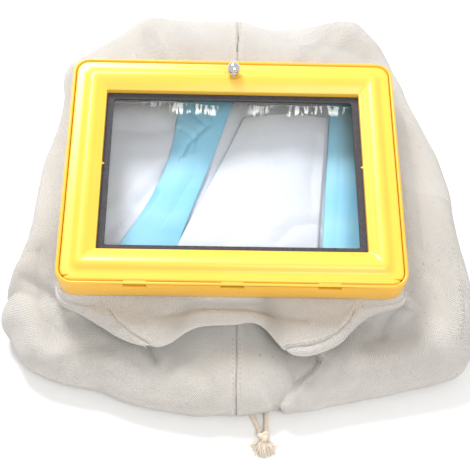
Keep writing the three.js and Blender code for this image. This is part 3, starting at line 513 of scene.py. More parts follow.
# %% Reading the tables
def column(table, index, degs, closed):
    """One column of a table of headings as a smooth curve through its rows, at every heading asked."""
    rows = [list(r) for r in table]
    if closed:
        rows = [[r[0] - 360, *r[1:]] for r in rows[-2:]] + rows + [[r[0] + 360, *r[1:]] for r in rows[:3]]
    x = np.array([r[0] for r in rows], float)
    y = np.array([r[index] for r in rows], float)
    slope = np.zeros_like(y)
    slope[1:-1] = (y[2:] - y[:-2]) / (x[2:] - x[:-2])
    slope[0] = (y[1] - y[0]) / (x[1] - x[0])
    slope[-1] = (y[-1] - y[-2]) / (x[-1] - x[-2])
    d = np.clip(degs, x[0], x[-1])
    k = np.clip(np.searchsorted(x, d, side="right") - 1, 0, len(x) - 2)
    span = x[k + 1] - x[k]
    t = (d - x[k]) / span
    rise = y[k + 1] - y[k]
    a, b = slope[k] * span, slope[k + 1] * span
    return y[k] + t * (a + t * (3 * rise - 2 * a - b + t * (a + b - 2 * rise)))


def wall_reach(degs):
    """How far the tray's lower edge lies from the window's centre, in plan."""
    c, s = np.abs(np.cos(np.radians(degs))), np.sin(np.radians(degs))
    shift = TRAY["depth"] * SIN
    half = HALF_Y * COS + np.where(s > 0, shift, -shift)
    return ((c / HALF_X) ** 20 + (np.abs(s) / half) ** 20) ** (-1 / 20)


def inner_ellipse(degs):
    """Reach of the ellipse inside the tray that the hood's reaches start from."""
    c, s = np.cos(np.radians(degs)), np.sin(np.radians(degs))
    return 1 / np.sqrt((c / HALF_X) ** 2 + (s / HALF_Y) ** 2)


def plane_height(y, level):
    """Height over the table of a plane that leans with the window, level above its front face."""
    return STAND + (level + y * SIN) / COS


def in_plan(degs, reach, z):
    r = np.radians(degs)
    return np.stack([reach * np.cos(r), reach * np.sin(r), z * np.ones_like(reach)], -1)


def on_plane(degs, reach, level):
    p = in_plan(degs, reach, 0.0)
    p[:, 2] = plane_height(p[:, 1], level)
    return p


# %% A smooth section
def smooth_section(stops, shares):
    """A centripetal curve through the stops of every section at once. stops[i] holds stop i of all."""
    p = np.stack(stops, 1)
    count = p.shape[1]
    before = 2 * p[:, :1] - p[:, 1:2]
    after = 2 * p[:, -1:] - p[:, -2:-1]
    p = np.concatenate([before, p, after], 1)
    made = []
    for share in shares:
        at = min(int(share), count - 2)
        t = share - at
        q = [p[:, at + n] for n in range(4)]
        steps = [np.linalg.norm(q[n + 1] - q[n], axis=-1, keepdims=True) for n in range(3)]
        d = [np.maximum(step, 1e-6) ** 0.5 for step in steps]
        m1 = (q[1] - q[0]) / d[0] - (q[2] - q[0]) / (d[0] + d[1]) + (q[2] - q[1]) / d[1]
        m2 = (q[2] - q[1]) / d[1] - (q[3] - q[1]) / (d[1] + d[2]) + (q[3] - q[2]) / d[2]
        m1, m2 = m1 * d[1], m2 * d[1]
        rise = q[2] - q[1]
        made.append(q[1] + t * (m1 + t * (3 * rise - 2 * m1 - m2 + t * (m1 + m2 - 2 * rise))))
    return np.stack(made, 1)


# %% [markdown]
# ## Folds
# A real fold is a soft ridge beside a tight valley. Each one below is a short route over the
# canvas, in millimetres about the window's centre, with its depth and its width. A positive step
# makes one side of the route stand above the other, as where one layer of cloth lies on another.

# %% The folds of the hood
FOLDS = [
    # name, depth, width, route
    ("crown fold", 5.0, 15, [(30, 160), (54, 144), (80, 130), (108, 122)]),
    ("crown ridge", -2.4, 11, [(60, 166), (84, 150), (112, 138)]),
    ("crown soft left", 1.8, 14, [(-90, 108), (-62, 140), (-50, 168)]),
    ("left upright", 2.6, 6, [(-139, -50), (-138, -70), (-133, -92), (-126, -108)]),
    ("left corner", 2.6, 6, [(-150, -66), (-134, -74), (-116, -88)]),
    ("left notch", 4.5, 8, [(-168, -74), (-152, -76), (-138, -80)]),
    ("left lobe first", 2.0, 6, [(-129, -84), (-127, -94), (-122, -106)]),
    ("left lobe second", 1.8, 6, [(-105, -117), (-95, -112), (-84, -112)]),
    ("left tuck", 3.5, 3.5, [(-58, -112), (-52, -122)]),
    ("middle valley", 1.4, 9, [(-40, -112), (-22, -126), (-8, -146)]),
    ("middle ridge", -1.2, 8, [(-34, -132), (-20, -144)]),
    ("right crease", 3.4, 3.2, [(124, -86), (115, -92), (108, -98), (104, -104)]),
    ("right soft", 3.2, 8, [(94, -108), (108, -104), (122, -97), (137, -86)]),
    ("right pucker", 1.8, 3.5, [(52, -139), (60, -130), (66, -122)]),
    ("right lobe ridge", -1.6, 14, [(84, -118), (112, -120), (146, -104)]),
    ("right side", 1.4, 6, [(134, 70), (136, 20), (138, -40)]),
]
STEPS = [
    # name, height, reach, tightness, route
    ("cape overlap", 6.5, 15, 0.9, [(59, -110), (63, -120), (58, -129), (47, -138), (39, -146), (30, -154)]),
    ("edge of the doubled side", -1.5, 9, 0.7, [(162, -44), (164, -62), (164, -90), (160, -108)]),
]
print("folds:", ", ".join(row[0] for row in FOLDS + STEPS))


# %% Relief of the folds
def route_distance(x, y, route):
    """Distance to a route in plan, the side on which a point lies, and how near the ends it is."""
    best = np.full(x.shape, 1e9)
    side = np.zeros(x.shape)
    along = np.zeros(x.shape)
    points = np.array(route, float)
    lengths = np.linalg.norm(np.diff(points, axis=0), axis=1)
    start = 0.0
    for a, b, size in zip(points[:-1], points[1:], lengths):
        t = np.clip(((x - a[0]) * (b[0] - a[0]) + (y - a[1]) * (b[1] - a[1])) / size**2, 0, 1)
        dx, dy = x - a[0] - t * (b[0] - a[0]), y - a[1] - t * (b[1] - a[1])
        far = np.hypot(dx, dy)
        closer = far < best
        turn = (b[0] - a[0]) * dy - (b[1] - a[1]) * dx
        side = np.where(closer, np.sign(turn), side)
        along = np.where(closer, (start + t * size) / lengths.sum(), along)
        best = np.minimum(best, far)
        start += size
    return best, side, along


def fold_profile(near, power=1.4, tight=1.6, shoulder=0.28, out=1.9, spread=1.4):
    """A valley of depth 1 on the route with a low shoulder beside it. near is in fold widths."""
    return np.exp(-(near**power) * tight) - shoulder * np.exp(-((near - out) ** 2) * spread)


def fold_relief(x, y):
    """How far the folds push the canvas out along its normal, in millimetres."""
    out = np.zeros(x.shape)
    for _, depth, wide, route in FOLDS:
        far, _, _ = route_distance(x, y, route)
        out -= depth * fold_profile(far / wide)
    for _, height, reach, tight, route in STEPS:
        far, side, along = route_distance(x, y, route)
        ends = smoothstep(along, 0.0, 0.12) * (1 - smoothstep(along, 0.94, 1.0))
        jump = np.tanh(far * side / tight) * np.exp(-far / reach)
        out += height * jump * ends / 2
    return out


# %% The neck mouth
MOUTH = {"width": 214.0, "length": 54.0, "front": 119.0, "corner": 25.0}


def at_lengths(line, at):
    """Points of a line at the given lengths along it."""
    run = length_along(line, 0)
    return np.stack([np.interp(at, run, line[:, k]) for k in range(line.shape[1])], -1)


def flange_level(degs):
    """Level of the hood's flange under the tray, lower where the front fold lies between them."""
    first, last = FRONT[0][0], FRONT[-1][0]
    under = smoothstep(degs, first - 12, first - 3) * (1 - smoothstep(degs, last + 3, last + 12))
    return -TRAY["depth"] - CLEAR - WALL / 2 - under * (WALL + 0.4)


def mouth_loop(count):
    """The neck mouth's outline: a rectangle with round corners, at even steps."""
    x, r = MOUTH["width"] / 2, MOUTH["corner"]
    near, far = -MOUTH["front"], -MOUTH["front"] + MOUTH["length"]
    dense = []
    corners = ((x - r, near + r, -90), (x - r, far - r, 0), (r - x, far - r, 90), (r - x, near + r, 180))
    for cx, cy, start in corners:
        for k in range(25):
            a = math.radians(start + 90 * k / 24)
            dense.append((cx + r * math.cos(a), cy + r * math.sin(a)))
    dense = np.array(dense + dense[:1])
    return at_lengths(dense, np.linspace(0, length_along(dense, 0)[-1], count, endpoint=False))


def mouth_reach(degs):
    """How far a ray at each heading goes to the mouth's near edge, 0 where it misses the mouth."""
    start = mouth_loop(240)
    step = np.roll(start, -1, 0) - start
    ray = np.stack([np.cos(np.radians(degs)), np.sin(np.radians(degs))], -1)[:, None]
    cross = ray[..., 0] * step[:, 1] - ray[..., 1] * step[:, 0]
    cross = np.where(np.abs(cross) < 1e-9, np.nan, cross)
    along = (start[:, 0] * step[:, 1] - start[:, 1] * step[:, 0]) / cross
    share = (start[:, 0] * ray[..., 1] - start[:, 1] * ray[..., 0]) / cross
    hit = (share >= 0) & (share <= 1)
    return np.where(hit, along, 0.0).max(axis=1)


# %% The hood's surface
def hood_grid(degs, fine):
    """One row of points for each heading, from under the tray out, down and in to the mouth."""
    belly = inner_ellipse(degs) + column(SECTIONS, 1, degs, True) * FLARE
    belly_up = column(SECTIONS, 2, degs, True) * STAND
    crest_up = column(SECTIONS, 3, degs, True) * STAND
    foot = belly - column(SECTIONS, 4, degs, True) * FLARE
    wall = wall_reach(degs)
    front = smoothstep(degs, 198, 211) * (1 - smoothstep(degs, 329, 342))
    crest = lerp(wall, belly, lerp(0.4, 0.15, front))
    ground = WALL / 2
    round_off = math.sqrt(0.5)
    level = flange_level(degs)
    stops = [
        on_plane(degs, wall - FLANGE, level),
        on_plane(degs, wall - lerp(0.5, FLANGE * 0.7, front), level),
        in_plan(degs, crest, crest_up),
        in_plan(degs, lerp(crest, belly, round_off), lerp(belly_up, crest_up, round_off)),
        in_plan(degs, belly, belly_up),
        in_plan(degs, lerp(foot, belly, round_off), lerp(belly_up, ground, round_off)),
        in_plan(degs, foot, ground),
    ]
    body = smooth_section(stops, fine)
    plain = foot - TURN
    share = smoothstep(degs, 217, 226) * (1 - smoothstep(degs, 314, 323))
    reach = mouth_reach(degs)
    turn = np.minimum(lerp(plain, np.where(reach > 0, reach, plain), share), foot - 4)
    turned_in = [in_plan(degs, lerp(foot, turn, s), ground) for s in (0.12, 0.3, 0.55, 0.8, 1.0)]
    return np.concatenate([body, np.stack(turned_in, 1)], 1)


SEAM_X = 4.0


def hood_surface():
    """The grid with its ripples, folds and centre seam, and the smooth grid's normals."""
    degs = np.concatenate([
        np.arange(0, 196, 0.9), np.arange(196, 345, 0.42), np.arange(345, 360, 0.9),
    ])
    fine = np.concatenate([[0, 0.5], np.arange(1, 3, 0.065), np.arange(3, 5, 0.055), np.arange(5, 6.01, 0.2)])
    grid = hood_grid(degs, fine)
    normal = grid_normals(grid, closed=True)
    if (normal[:, 40] * grid[:, 40] * [1, 1, 0]).sum() < 0:
        normal = -normal
    x, y, z = grid[..., 0], grid[..., 1], grid[..., 2]
    rows = np.arange(grid.shape[1]) / (len(fine) - 1)
    ease = smoothstep(rows, 0.06, 0.2) * (1 - smoothstep(rows, 0.82, 0.97))
    front = smoothstep(degs, 200, 215) * (1 - smoothstep(degs, 325, 342))
    soft = ripple(x, y + z, RNG_SEED, 10, 95, 26) * lerp(0.9, 1.5, front)[:, None]
    small = ripple(x, y - z, RNG_SEED + 1, 9, 26, 9) * lerp(0.12, 0.32, front)[:, None]
    relief = (fold_relief(x, y) + soft * 0.8 + small) * ease
    aside = np.abs(x - SEAM_X)
    seam = np.exp(-(((aside - 3.0) / 1.9) ** 2)) * 0.6 - np.exp(-((aside / 1.1) ** 2)) * 0.8
    relief = relief + seam * smoothstep(rows, 0.04, 0.1) * (1 - smoothstep(rows, 0.9, 1.0))
    grid = grid + normal * relief[..., None]
    grid[..., 2] = np.maximum(grid[..., 2], WALL / 2)
    return grid, normal


hood_points, hood_normals = hood_surface()
print("hood grid", hood_points.shape, "height", round(float(hood_points[..., 2].max()), 1))

# %% [markdown]
# The hood is sewn from two halves that meet in the centre seam. The grid is cut there into a left
# and a right piece, so each half stays one cloth that can be picked and given its own weave.


# %% Cutting tools and the finish of a piece
CORD = {"diameter": 3.8, "exit_x": 20.0, "exit_width": 21.0, "loop_gap": 29.6, "hem_gap": 36.0}
BOX_FACES = [(0, 1, 3, 2), (4, 6, 7, 5), (0, 4, 5, 1), (2, 3, 7, 6), (0, 2, 6, 4), (1, 5, 7, 3)]


def exit_cutter(width, low, high):
    """A box where the cord's ends come out at the front of the neck mouth."""
    xs = (CORD["exit_x"] - width / 2, CORD["exit_x"] + width / 2)
    ys = (-MOUTH["front"] - 60, 1 - MOUTH["front"])
    points = [(x, y, z) for x in xs for y in ys for z in (low, high)]
    mesh = bpy.data.meshes.new("exit")
    mesh.from_pydata(to_part(points).tolist(), [], BOX_FACES)
    return new_object("exit", mesh, canvas, smooth=False)


def combine(target, others, operation):
    """Joins or cuts a piece with others, which are then gone."""
    for other in others:
        modifier = target.modifiers.new("cut", "BOOLEAN")
        modifier.operation = operation
        modifier.solver = "EXACT"
        modifier.object = other
    apply_modifiers(target)
    for other in others:
        bpy.data.objects.remove(other)


def dress(made, body, slot, *nodes):
    """Says which body a piece rides on and which solids it stands for. Its slot is not used."""
    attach(made, body)
    if nodes:
        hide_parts(*nodes)
    print(made.name, len(made.data.polygons), "faces")


# %% The two halves of the hood
MERGE = 1e-7
SEAM_GAP = 0.02


def half_piece(name, node, keep_left):
    """The hood's canvas on one side of the centre seam."""
    made = new_object(name, grid_mesh(name, hood_points, closed=True), canvas)
    seam = to_part([SEAM_X, 0, 0])[0]
    gap = SEAM_GAP * MM
    edit = bmesh.new()
    edit.from_mesh(made.data)
    bmesh.ops.bisect_plane(
        edit, geom=edit.verts[:] + edit.edges[:] + edit.faces[:], dist=MERGE,
        plane_co=(seam - gap if keep_left else seam + gap, 0, 0), plane_no=(1, 0, 0),
        clear_outer=keep_left, clear_inner=not keep_left,
    )
    edit.to_mesh(made.data)
    edit.free()
    thicken(made, WALL)
    if not keep_left:
        combine(made, [exit_cutter(CORD["exit_width"], -1, CORD["diameter"] + 1.4)], "DIFFERENCE")
    dress(made, "hood", "canvas", node)


half_piece("canvas_half_left", "hood_left", True)
half_piece("canvas_half_right", "hood_right", False)


# %% The front fold under the window
def front_grid(degs, fine):
    """One row of points for each heading, from under the tray over the crease to the rolled lip."""
    wall = wall_reach(degs)
    lip = wall + column(FRONT, 1, degs, False) * FLARE
    lip_up = column(FRONT, 2, degs, False) * STAND
    crease = lerp(wall, lip, column(FRONT, 3, degs, False))
    crease_up = column(FRONT, 4, degs, False) * STAND
    level = -TRAY["depth"] - CLEAR - WALL / 2
    curl = np.minimum(3.2, (lip - wall) * 0.3)
    stops = [
        on_plane(degs, wall - FLANGE, level),
        on_plane(degs, wall - 0.5, level),
        in_plan(degs, crease, crease_up),
        in_plan(degs, lerp(crease, lip, 0.6), lerp(lip_up, crease_up, 0.75)),
        in_plan(degs, lip, lip_up),
        in_plan(degs, lip - curl, lip_up - 3.4),
    ]
    return smooth_section(stops, fine)


CHIN_SEAMS = {
    "left": [(-89, -89), (-85, -96), (-78, -105), (-68, -113), (-55, -120), (-46, -124)],
    "right": [(87, -92), (81, -103), (73, -111), (64, -117), (52, -121), (38, -122)],
}
CHIN_CREASE = [
    (-52, -101), (-36, -98), (-27, -94.5), (-14, -93.5), (0, -93.5), (13, -94.5),
    (24, -97), (35, -100), (50, -103),
]


def front_surface():
    degs = np.arange(213, 327.01, 0.35)
    fine = np.concatenate([[0, 0.5], np.arange(0.9, 5.001, 0.075)])
    grid = front_grid(degs, fine)
    normal = grid_normals(grid)
    if normal[len(degs) // 2, 20, 2] < 0:
        normal = -normal
    x, y = grid[..., 0], grid[..., 1]
    rows = np.arange(grid.shape[1]) / (grid.shape[1] - 1)
    ease = smoothstep(rows, 0.25, 0.42)
    ends = smoothstep(degs, 214, 226) * (1 - smoothstep(degs, 312, 325))
    relief = ripple(x, y, RNG_SEED + 5, 9, 50, 14) * 0.35
    far, _, _ = route_distance(x, y, CHIN_CREASE)
    relief -= 1.5 * np.exp(-((far / 2.4) ** 2)) - 0.7 * np.exp(-(((far - 5.0) / 3.0) ** 2))
    for route in CHIN_SEAMS.values():
        far, _, _ = route_distance(x, y, route)
        relief -= 0.9 * np.exp(-((far / 0.8) ** 2))
        relief += 0.4 * np.exp(-(((far - 2.6) / 1.6) ** 2))
    grid = grid + normal * (relief * ease * ends[:, None])[..., None]
    return grid, normal


front_points, front_normals = front_surface()
front_fold = new_object("front_fold", grid_mesh("front_fold", front_points), canvas)
thicken(front_fold, WALL)
dress(front_fold, "hood", "canvas", "chin_panel", "cheek_fold_left", "cheek_fold_right")

# %% [markdown]
# ## The back of the hood and the lining
# The back of the hood is pushed up under the window, so its inside is what the pane shows: white
# cloth, with two light blue strips and a white flap over it. Each is a grid as the hood is, with
# its own creases.

# %% Back panel
INSIDE = {"depth": 42.0, "slope": 34.0, "front_slope": 15.0, "relief": 2.5}
OPEN_X, OPEN_Y = 187.7 / 2, 131.9 / 2


def lining_height(x, y):
    """How high the back of the hood lies behind the window."""
    soft = np.cos(x / 31 + y / 55) * np.sin(y / 27 - x / 60)
    return plane_height(y, -INSIDE["depth"]) - INSIDE["relief"] * (1 + soft)


def hood_foot(degs):
    """Reach of the hood where it meets the table."""
    return inner_ellipse(degs) + (column(SECTIONS, 1, degs, True) - column(SECTIONS, 4, degs, True)) * FLARE


LINING_FOLDS = [
    # name, depth, width, route
    ("fold by the strip", 2.2, 5, [(-70, 0), (-58, 16), (-50, 30)]),
    ("fold at the left", 1.6, 6, [(-96, -30), (-78, -12), (-62, 4)]),
    ("top left", 1.5, 7, [(-90, 66), (-66, 62), (-46, 68)]),
]


def back_surface():
    steps = 150
    side = np.linspace(-1, 1, steps)
    v, u = np.meshgrid(side[::-1], side, indexing="ij")
    share = np.maximum(np.abs(u), np.abs(v))
    degs = np.degrees(np.arctan2(v, u)) % 360
    s = np.sin(np.radians(degs))
    edge = MOUTH["front"] - MOUTH["length"] - 6.4 - CLEAR - WALL
    plain = hood_foot(degs) - TURN * 0.3
    border = np.where(s < 0, np.minimum(plain, edge / np.maximum(-s, 1e-3)), plain)
    flat = in_plan(degs, border * (1 - (1 - share) ** 1.25), 0.0)
    slope = lerp(INSIDE["front_slope"], INSIDE["slope"], smoothstep(s, -0.75, -0.35))
    rise = smoothstep((1 - share) * border / slope, 1 / slope, 1.0)
    x, y = flat[..., 0], flat[..., 1]
    ground = WALL * 1.5 + CLEAR
    z = lerp(ground, lining_height(x, y), rise)
    z += ripple(x, y, RNG_SEED + 8, 10, 70, 18) * 0.7 * rise
    for _, depth, wide, route in LINING_FOLDS:
        far, _, _ = route_distance(x, y, route)
        z -= depth * fold_profile(far / wide, power=1.5, shoulder=0.3) * rise
    flat[..., 2] = z
    return flat


back = new_object("back_of_hood", grid_mesh("back_of_hood", back_surface()), white_lining)
thicken(back, WALL)
dress(back, "hood", "lining_white", "back_panel")
print("folds of the lining:", ", ".join(row[0] for row in LINING_FOLDS))

# %% Strips of lining
STRIPS = [
    # far_, near_ and bow are shares of the window's half width, far of its half height. A crease is its
    # depth, width and route.
    {"node": "lining_band_left", "far_a": -0.44, "far_b": 0.01, "near_a": -0.97, "near_b": -0.47, "bow": 0.13,
     "far": 1.36, "lift": 0.0, "material": blue_satin, "slot": "lining_blue",
     "creases": [
         (1.6, 3.0, [(-32, 78), (-20, 66), (-34, 50), (-38, 40)]),
         (1.2, 2.5, [(-40, 64), (-28, 54), (-30, 44)]),
         (1.5, 5.0, [(-60, 6), (-70, -12), (-88, -30)]),
         (0.8, 8.0, [(-30, 20), (-44, -10)]),
     ]},
    {"node": "lining_flap", "far_a": 0.10, "far_b": 0.79, "near_a": -0.49, "near_b": 0.66, "bow": 0.0,
     "far": 1.12, "lift": 1.8, "material": white_lining, "slot": "lining_white",
     "creases": [
         (1.1, 6.5, [(34, -36), (46, -22), (62, -17), (72, -20)]), (0.9, 5.5, [(66, 50), (60, 20), (60, -4)]),
         (0.8, 8.0, [(-14, -46), (2, -33), (22, -28)]), (0.6, 10.0, [(30, 60), (36, 30)]),
     ]},
    {"node": "lining_band_right", "far_a": 0.83, "far_b": 1.02, "near_a": 0.70, "near_b": 1.03, "bow": 0.0,
     "far": 1.36, "lift": 0.0, "material": blue_satin, "slot": "lining_blue",
     "creases": [(0.5, 6.0, [(84, 60), (80, 0), (74, -50)])]},
]
STRIP_NEAR = -0.78
STRIP_WALL = 1.0


def strip_surface(strip):
    share, across = np.meshgrid(np.linspace(0, 1, 150), np.linspace(0, 1, 60), indexing="ij")
    edge_a = lerp(strip["far_a"], strip["near_a"], share) + strip["bow"] * np.sin(np.pi * share)
    edge_b = lerp(strip["far_b"], strip["near_b"], share)
    x = lerp(edge_a, edge_b, across) * OPEN_X
    y = lerp(strip["far"], STRIP_NEAR, share) * OPEN_Y
    crown = 3.5 * np.sin(np.pi * across) ** 0.8
    z = lining_height(x, y) + WALL + 0.7 + strip["lift"] + crown
    for depth, wide, route in strip["creases"]:
        far, side, _ = route_distance(x, y, route)
        one_side = 0.45 * (side > 0)
        z -= depth * fold_profile(far / wide, power=1.3, tight=1.7, shoulder=one_side, out=1.5, spread=1.8)
    z += ripple(x, y, RNG_SEED + 20 + len(strip["creases"]), 8, 60, 16) * 0.3 * np.sin(np.pi * across)
    return np.stack([x, y, z], -1)


for strip in STRIPS:
    mesh = grid_mesh(strip["node"], strip_surface(strip))
    made = new_object(strip["node"] + "_cloth", mesh, strip["material"])
    thicken(made, STRIP_WALL)
    dress(made, "hood", strip["slot"], strip["node"])

# %% [markdown]
# ## The window frame
# Both plastic pieces are rings: one profile that runs round a rectangle with round corners. The
# profile is written as rows from the outside in, each with its distance from an edge and its
# height, so the raised roll of the bezel, its lip and its thickness all come from one loop.


# %% Ring profile helper
BEZEL = {
    "gap": 0.4, "edge": 3.6, "flat": 6.0, "ridge": 3.0, "crest": 12.5,
    "skin": 2.2, "lip_drop": 1.6, "lip": 4.3,
}
BEZEL_X = HALF_X - TRAY["wall"] - BEZEL["gap"]
BEZEL_Y = HALF_Y - TRAY["wall"] - BEZEL["gap"]
PIVOT_Y, PIVOT_Z = -BEZEL_Y + BEZEL["edge"] / 2, -BEZEL["edge"] / 2


def rounded_rect(half_x, half_y, radius, steps=12):
    """Points all round a rectangle with round corners, anticlockwise from its right side."""
    points = []
    for quarter in range(4):
        sign_x = 1 if quarter in (0, 3) else -1
        sign_y = 1 if quarter < 2 else -1
        for step in range(steps + 1):
            angle = (quarter + step / steps) * math.pi / 2
            x = sign_x * (half_x - radius) + radius * math.cos(angle)
            points.append((x, sign_y * (half_y - radius) + radius * math.sin(angle)))
    return points


def window_mesh(name, points, faces):
    """A mesh from points in the window's own frame."""
    mesh = bpy.data.meshes.new(name)
    mesh.from_pydata(to_part(from_window(points)).tolist(), [], faces)
    mesh.update()
    return mesh


def ring_mesh(name, rows, turn=0.0):
    """rows of (half x, half y, corner, height) that close on themselves, turned about the hinge."""
    loops = [rounded_rect(hx, hy, max(corner, 0.4)) for hx, hy, corner, _ in rows]
    count = len(loops[0])
    points = np.array([(*p, rows[i][3]) for i, loop in enumerate(loops) for p in loop])
    y, z = points[:, 1] - PIVOT_Y, points[:, 2] - PIVOT_Z
    points[:, 1] = PIVOT_Y + y * math.cos(turn) - z * math.sin(turn)
    points[:, 2] = PIVOT_Z + y * math.sin(turn) + z * math.cos(turn)
    faces = []
    for i in range(len(rows)):
        n = (i + 1) % len(rows)
        for j in range(count):
            m = (j + 1) % count
            faces.append((i * count + j, i * count + m, n * count + m, n * count + j))
    return window_mesh(name, points, faces)


# %% Boxes and posts for the window frame
def window_box(name, low, high):
    """A box in the window's own frame, as an object for cutting or joining."""
    x, y, z = zip(low, high)
    points = [(x[i], y[j], z[k]) for i in (0, 1) for j in (0, 1) for k in (0, 1)]
    return new_object(name, window_mesh(name, points, BOX_FACES), foam, smooth=False)


def window_post(name, radius, low, high, sides=40):
    """A round post where the knob stands, as an object for cutting or joining."""
    edit = bmesh.new()
    bmesh.ops.create_cone(
        edit, cap_ends=True, segments=sides, radius1=radius, radius2=radius, depth=high - low,
    )
    points = np.array([v.co for v in edit.verts]) + [0, KNOB_Y, (low + high) / 2]
    for vert, p in zip(edit.verts, to_part(from_window(points))):
        vert.co = p
    mesh = bpy.data.meshes.new(name)
    edit.to_mesh(mesh)
    edit.free()
    return new_object(name, mesh, foam, smooth=False)


def finish_plastic(made, body, node, slot, material, round_mm=0.35):
    """Rounds the sharp edges of a moulding a little, and shades it smooth between them."""
    made.data.materials.clear()
    made.data.materials.append(material)
    for polygon in made.data.polygons:
        polygon.material_index = 0
    bevel = made.modifiers.new("edges", "BEVEL")
    bevel.width = round_mm * MM
    bevel.segments = 2
    bevel.limit_method = "ANGLE"
    bevel.angle_limit = math.radians(40)
    bevel.use_clamp_overlap = True
    apply_modifiers(made)
    made.data.shade_smooth()
    made.data.set_sharp_from_angle(angle=math.radians(42))
    dress(made, body, slot, node)


# %% Bezel
BEZEL_CORNER = TRAY["corner"] - TRAY["wall"] - BEZEL["gap"]
LIP_UNDER = -BEZEL["lip_drop"] - BEZEL["lip"]
HINGE = {"tongue": 15.0, "thick": 1.8, "reach": 3.6, "places": (-66.0, 0.0, 66.0), "slack": 0.3}
KNOB = {"from_edge": 10.5, "hole": 2.35, "bore": 2.6, "boss": 5.0, "seat": 6.2, "ball": 5.25}
KNOB_Y = BEZEL_Y + BEZEL["gap"] - KNOB["from_edge"]
RELIEF_DEGS = (50, 59, 68, 77, 86, 95)


def bezel_rows():
    """The bezel's profile: rolled edge, flat, raised roll, lip, and back along the underside."""
    half = BEZEL["edge"] / 2
    rows = []

    def outer(inset, z, corner_share=0.42):
        rows.append((BEZEL_X - inset, BEZEL_Y - inset, BEZEL_CORNER - inset * corner_share, z))

    def window(outset, z):
        rows.append((OPEN_X + outset, OPEN_Y + outset, 1.0 + 0.35 * outset, z))

    for k in range(7):
        angle = math.pi / 2 * k / 6
        outer(half * (1 - math.cos(angle)), -half + half * math.sin(angle))
    outer(BEZEL["flat"] - 1.0, 0)
    flat, crest, ridge = BEZEL["flat"], BEZEL["crest"], BEZEL["ridge"]
    for k in range(1, 9):
        share = k / 8
        outer(lerp(flat, crest, share), ridge * (0.5 - 0.5 * math.cos(math.pi * share**0.85)))
    fall = ridge + BEZEL["lip_drop"]
    inner = BEZEL_X - OPEN_X
    for k in range(1, 9):
        share = k / 8
        inset = lerp(crest, inner - 0.8, share)
        if share < 0.45:
            outer(inset, ridge - fall * share**1.7 * 0.9)
        else:
            window(inner - inset, ridge - fall * share**1.35)
    window(0.25, -BEZEL["lip_drop"] - 0.25)
    window(0, -BEZEL["lip_drop"] - 0.8)
    window(0, LIP_UNDER)
    window(BEZEL["skin"], LIP_UNDER)
    window(BEZEL["skin"], -BEZEL["edge"])
    window(4.5, ridge - fall * 0.42 - BEZEL["skin"])
    outer(crest, ridge - BEZEL["skin"])
    outer(flat + 1, -BEZEL["edge"])
    outer(half, -BEZEL["edge"])
    outer(half * 0.3, -BEZEL["edge"] + half * 0.3)
    return rows


# %% Bezel's hinge, seat and stops
def turned_wall(degrees):
    """The tray's inner wall as the bezel meets it when it has opened by this much."""
    margin = 0.15
    out, into = -4.0, TRAY["wall"] + margin
    rows = [(out, -TRAY["depth"]), (out, margin), (into, margin), (into, -TRAY["depth"])]
    rows = [(HALF_X - i, HALF_Y - i, TRAY["corner"] - i * 0.9, z) for i, z in rows]
    mesh = ring_mesh("wall", rows, math.radians(-degrees))
    return new_object("wall", mesh, foam, smooth=False)


bezel = new_object("bezel_shell", ring_mesh("bezel_shell", bezel_rows()), bezel_yellow)
combine(bezel, [turned_wall(d) for d in RELIEF_DEGS], "DIFFERENCE")
combine(bezel, [window_post("clear", KNOB["seat"] + CLEAR, 0.5, 4.0)], "DIFFERENCE")
tongues = [
    window_box("tongue", (x - HINGE["tongue"] / 2, PIVOT_Y - HINGE["reach"], PIVOT_Z - HINGE["thick"] / 2),
               (x + HINGE["tongue"] / 2, PIVOT_Y + 1, PIVOT_Z + HINGE["thick"] / 2))
    for x in HINGE["places"]
]
combine(bezel, [window_post("seat", KNOB["seat"], -BEZEL["edge"], 0.5), *tongues], "UNION")
combine(bezel, [window_post("hole", KNOB["hole"], -6, 3)], "DIFFERENCE")


def stop_nib(side):
    """A small pointed stop on the window's edge."""
    x = side * (OPEN_X + 0.5)
    tip = side * (OPEN_X - 2.0)
    z = -BEZEL["lip_drop"] - 1.4
    points = [(x, 1.3, z - 0.8), (x, 3.9, z - 0.8), (x, 3.9, z + 0.8), (x, 1.3, z + 0.8), (tip, 2.6, z)]
    faces = [(0, 1, 2, 3), (0, 4, 1), (1, 4, 2), (2, 4, 3), (3, 4, 0)]
    if side > 0:
        faces = [tuple(reversed(f)) for f in faces]
    return new_object("nib", window_mesh("nib", points, faces), foam, smooth=False)


combine(bezel, [stop_nib(-1), stop_nib(1)], "UNION")
finish_plastic(bezel, "bezel", "bezel", "yellow_plastic", bezel_yellow)


# %% Tray
GLASS = {"thick": 3.0, "overlap": 6.6, "corner": 3.0}
GASKET_THICK = 1.7
GLASS_TOP = LIP_UNDER - 2 * CLEAR - GASKET_THICK
SEAT_TOP = GLASS_TOP - GLASS["thick"] - CLEAR
SEAT_OUT = (OPEN_X + GLASS["overlap"] + 0.5, OPEN_Y + GLASS["overlap"] + 0.5)
SEAT_IN = (SEAT_OUT[0] - 3.0, SEAT_OUT[1] - 3.0)


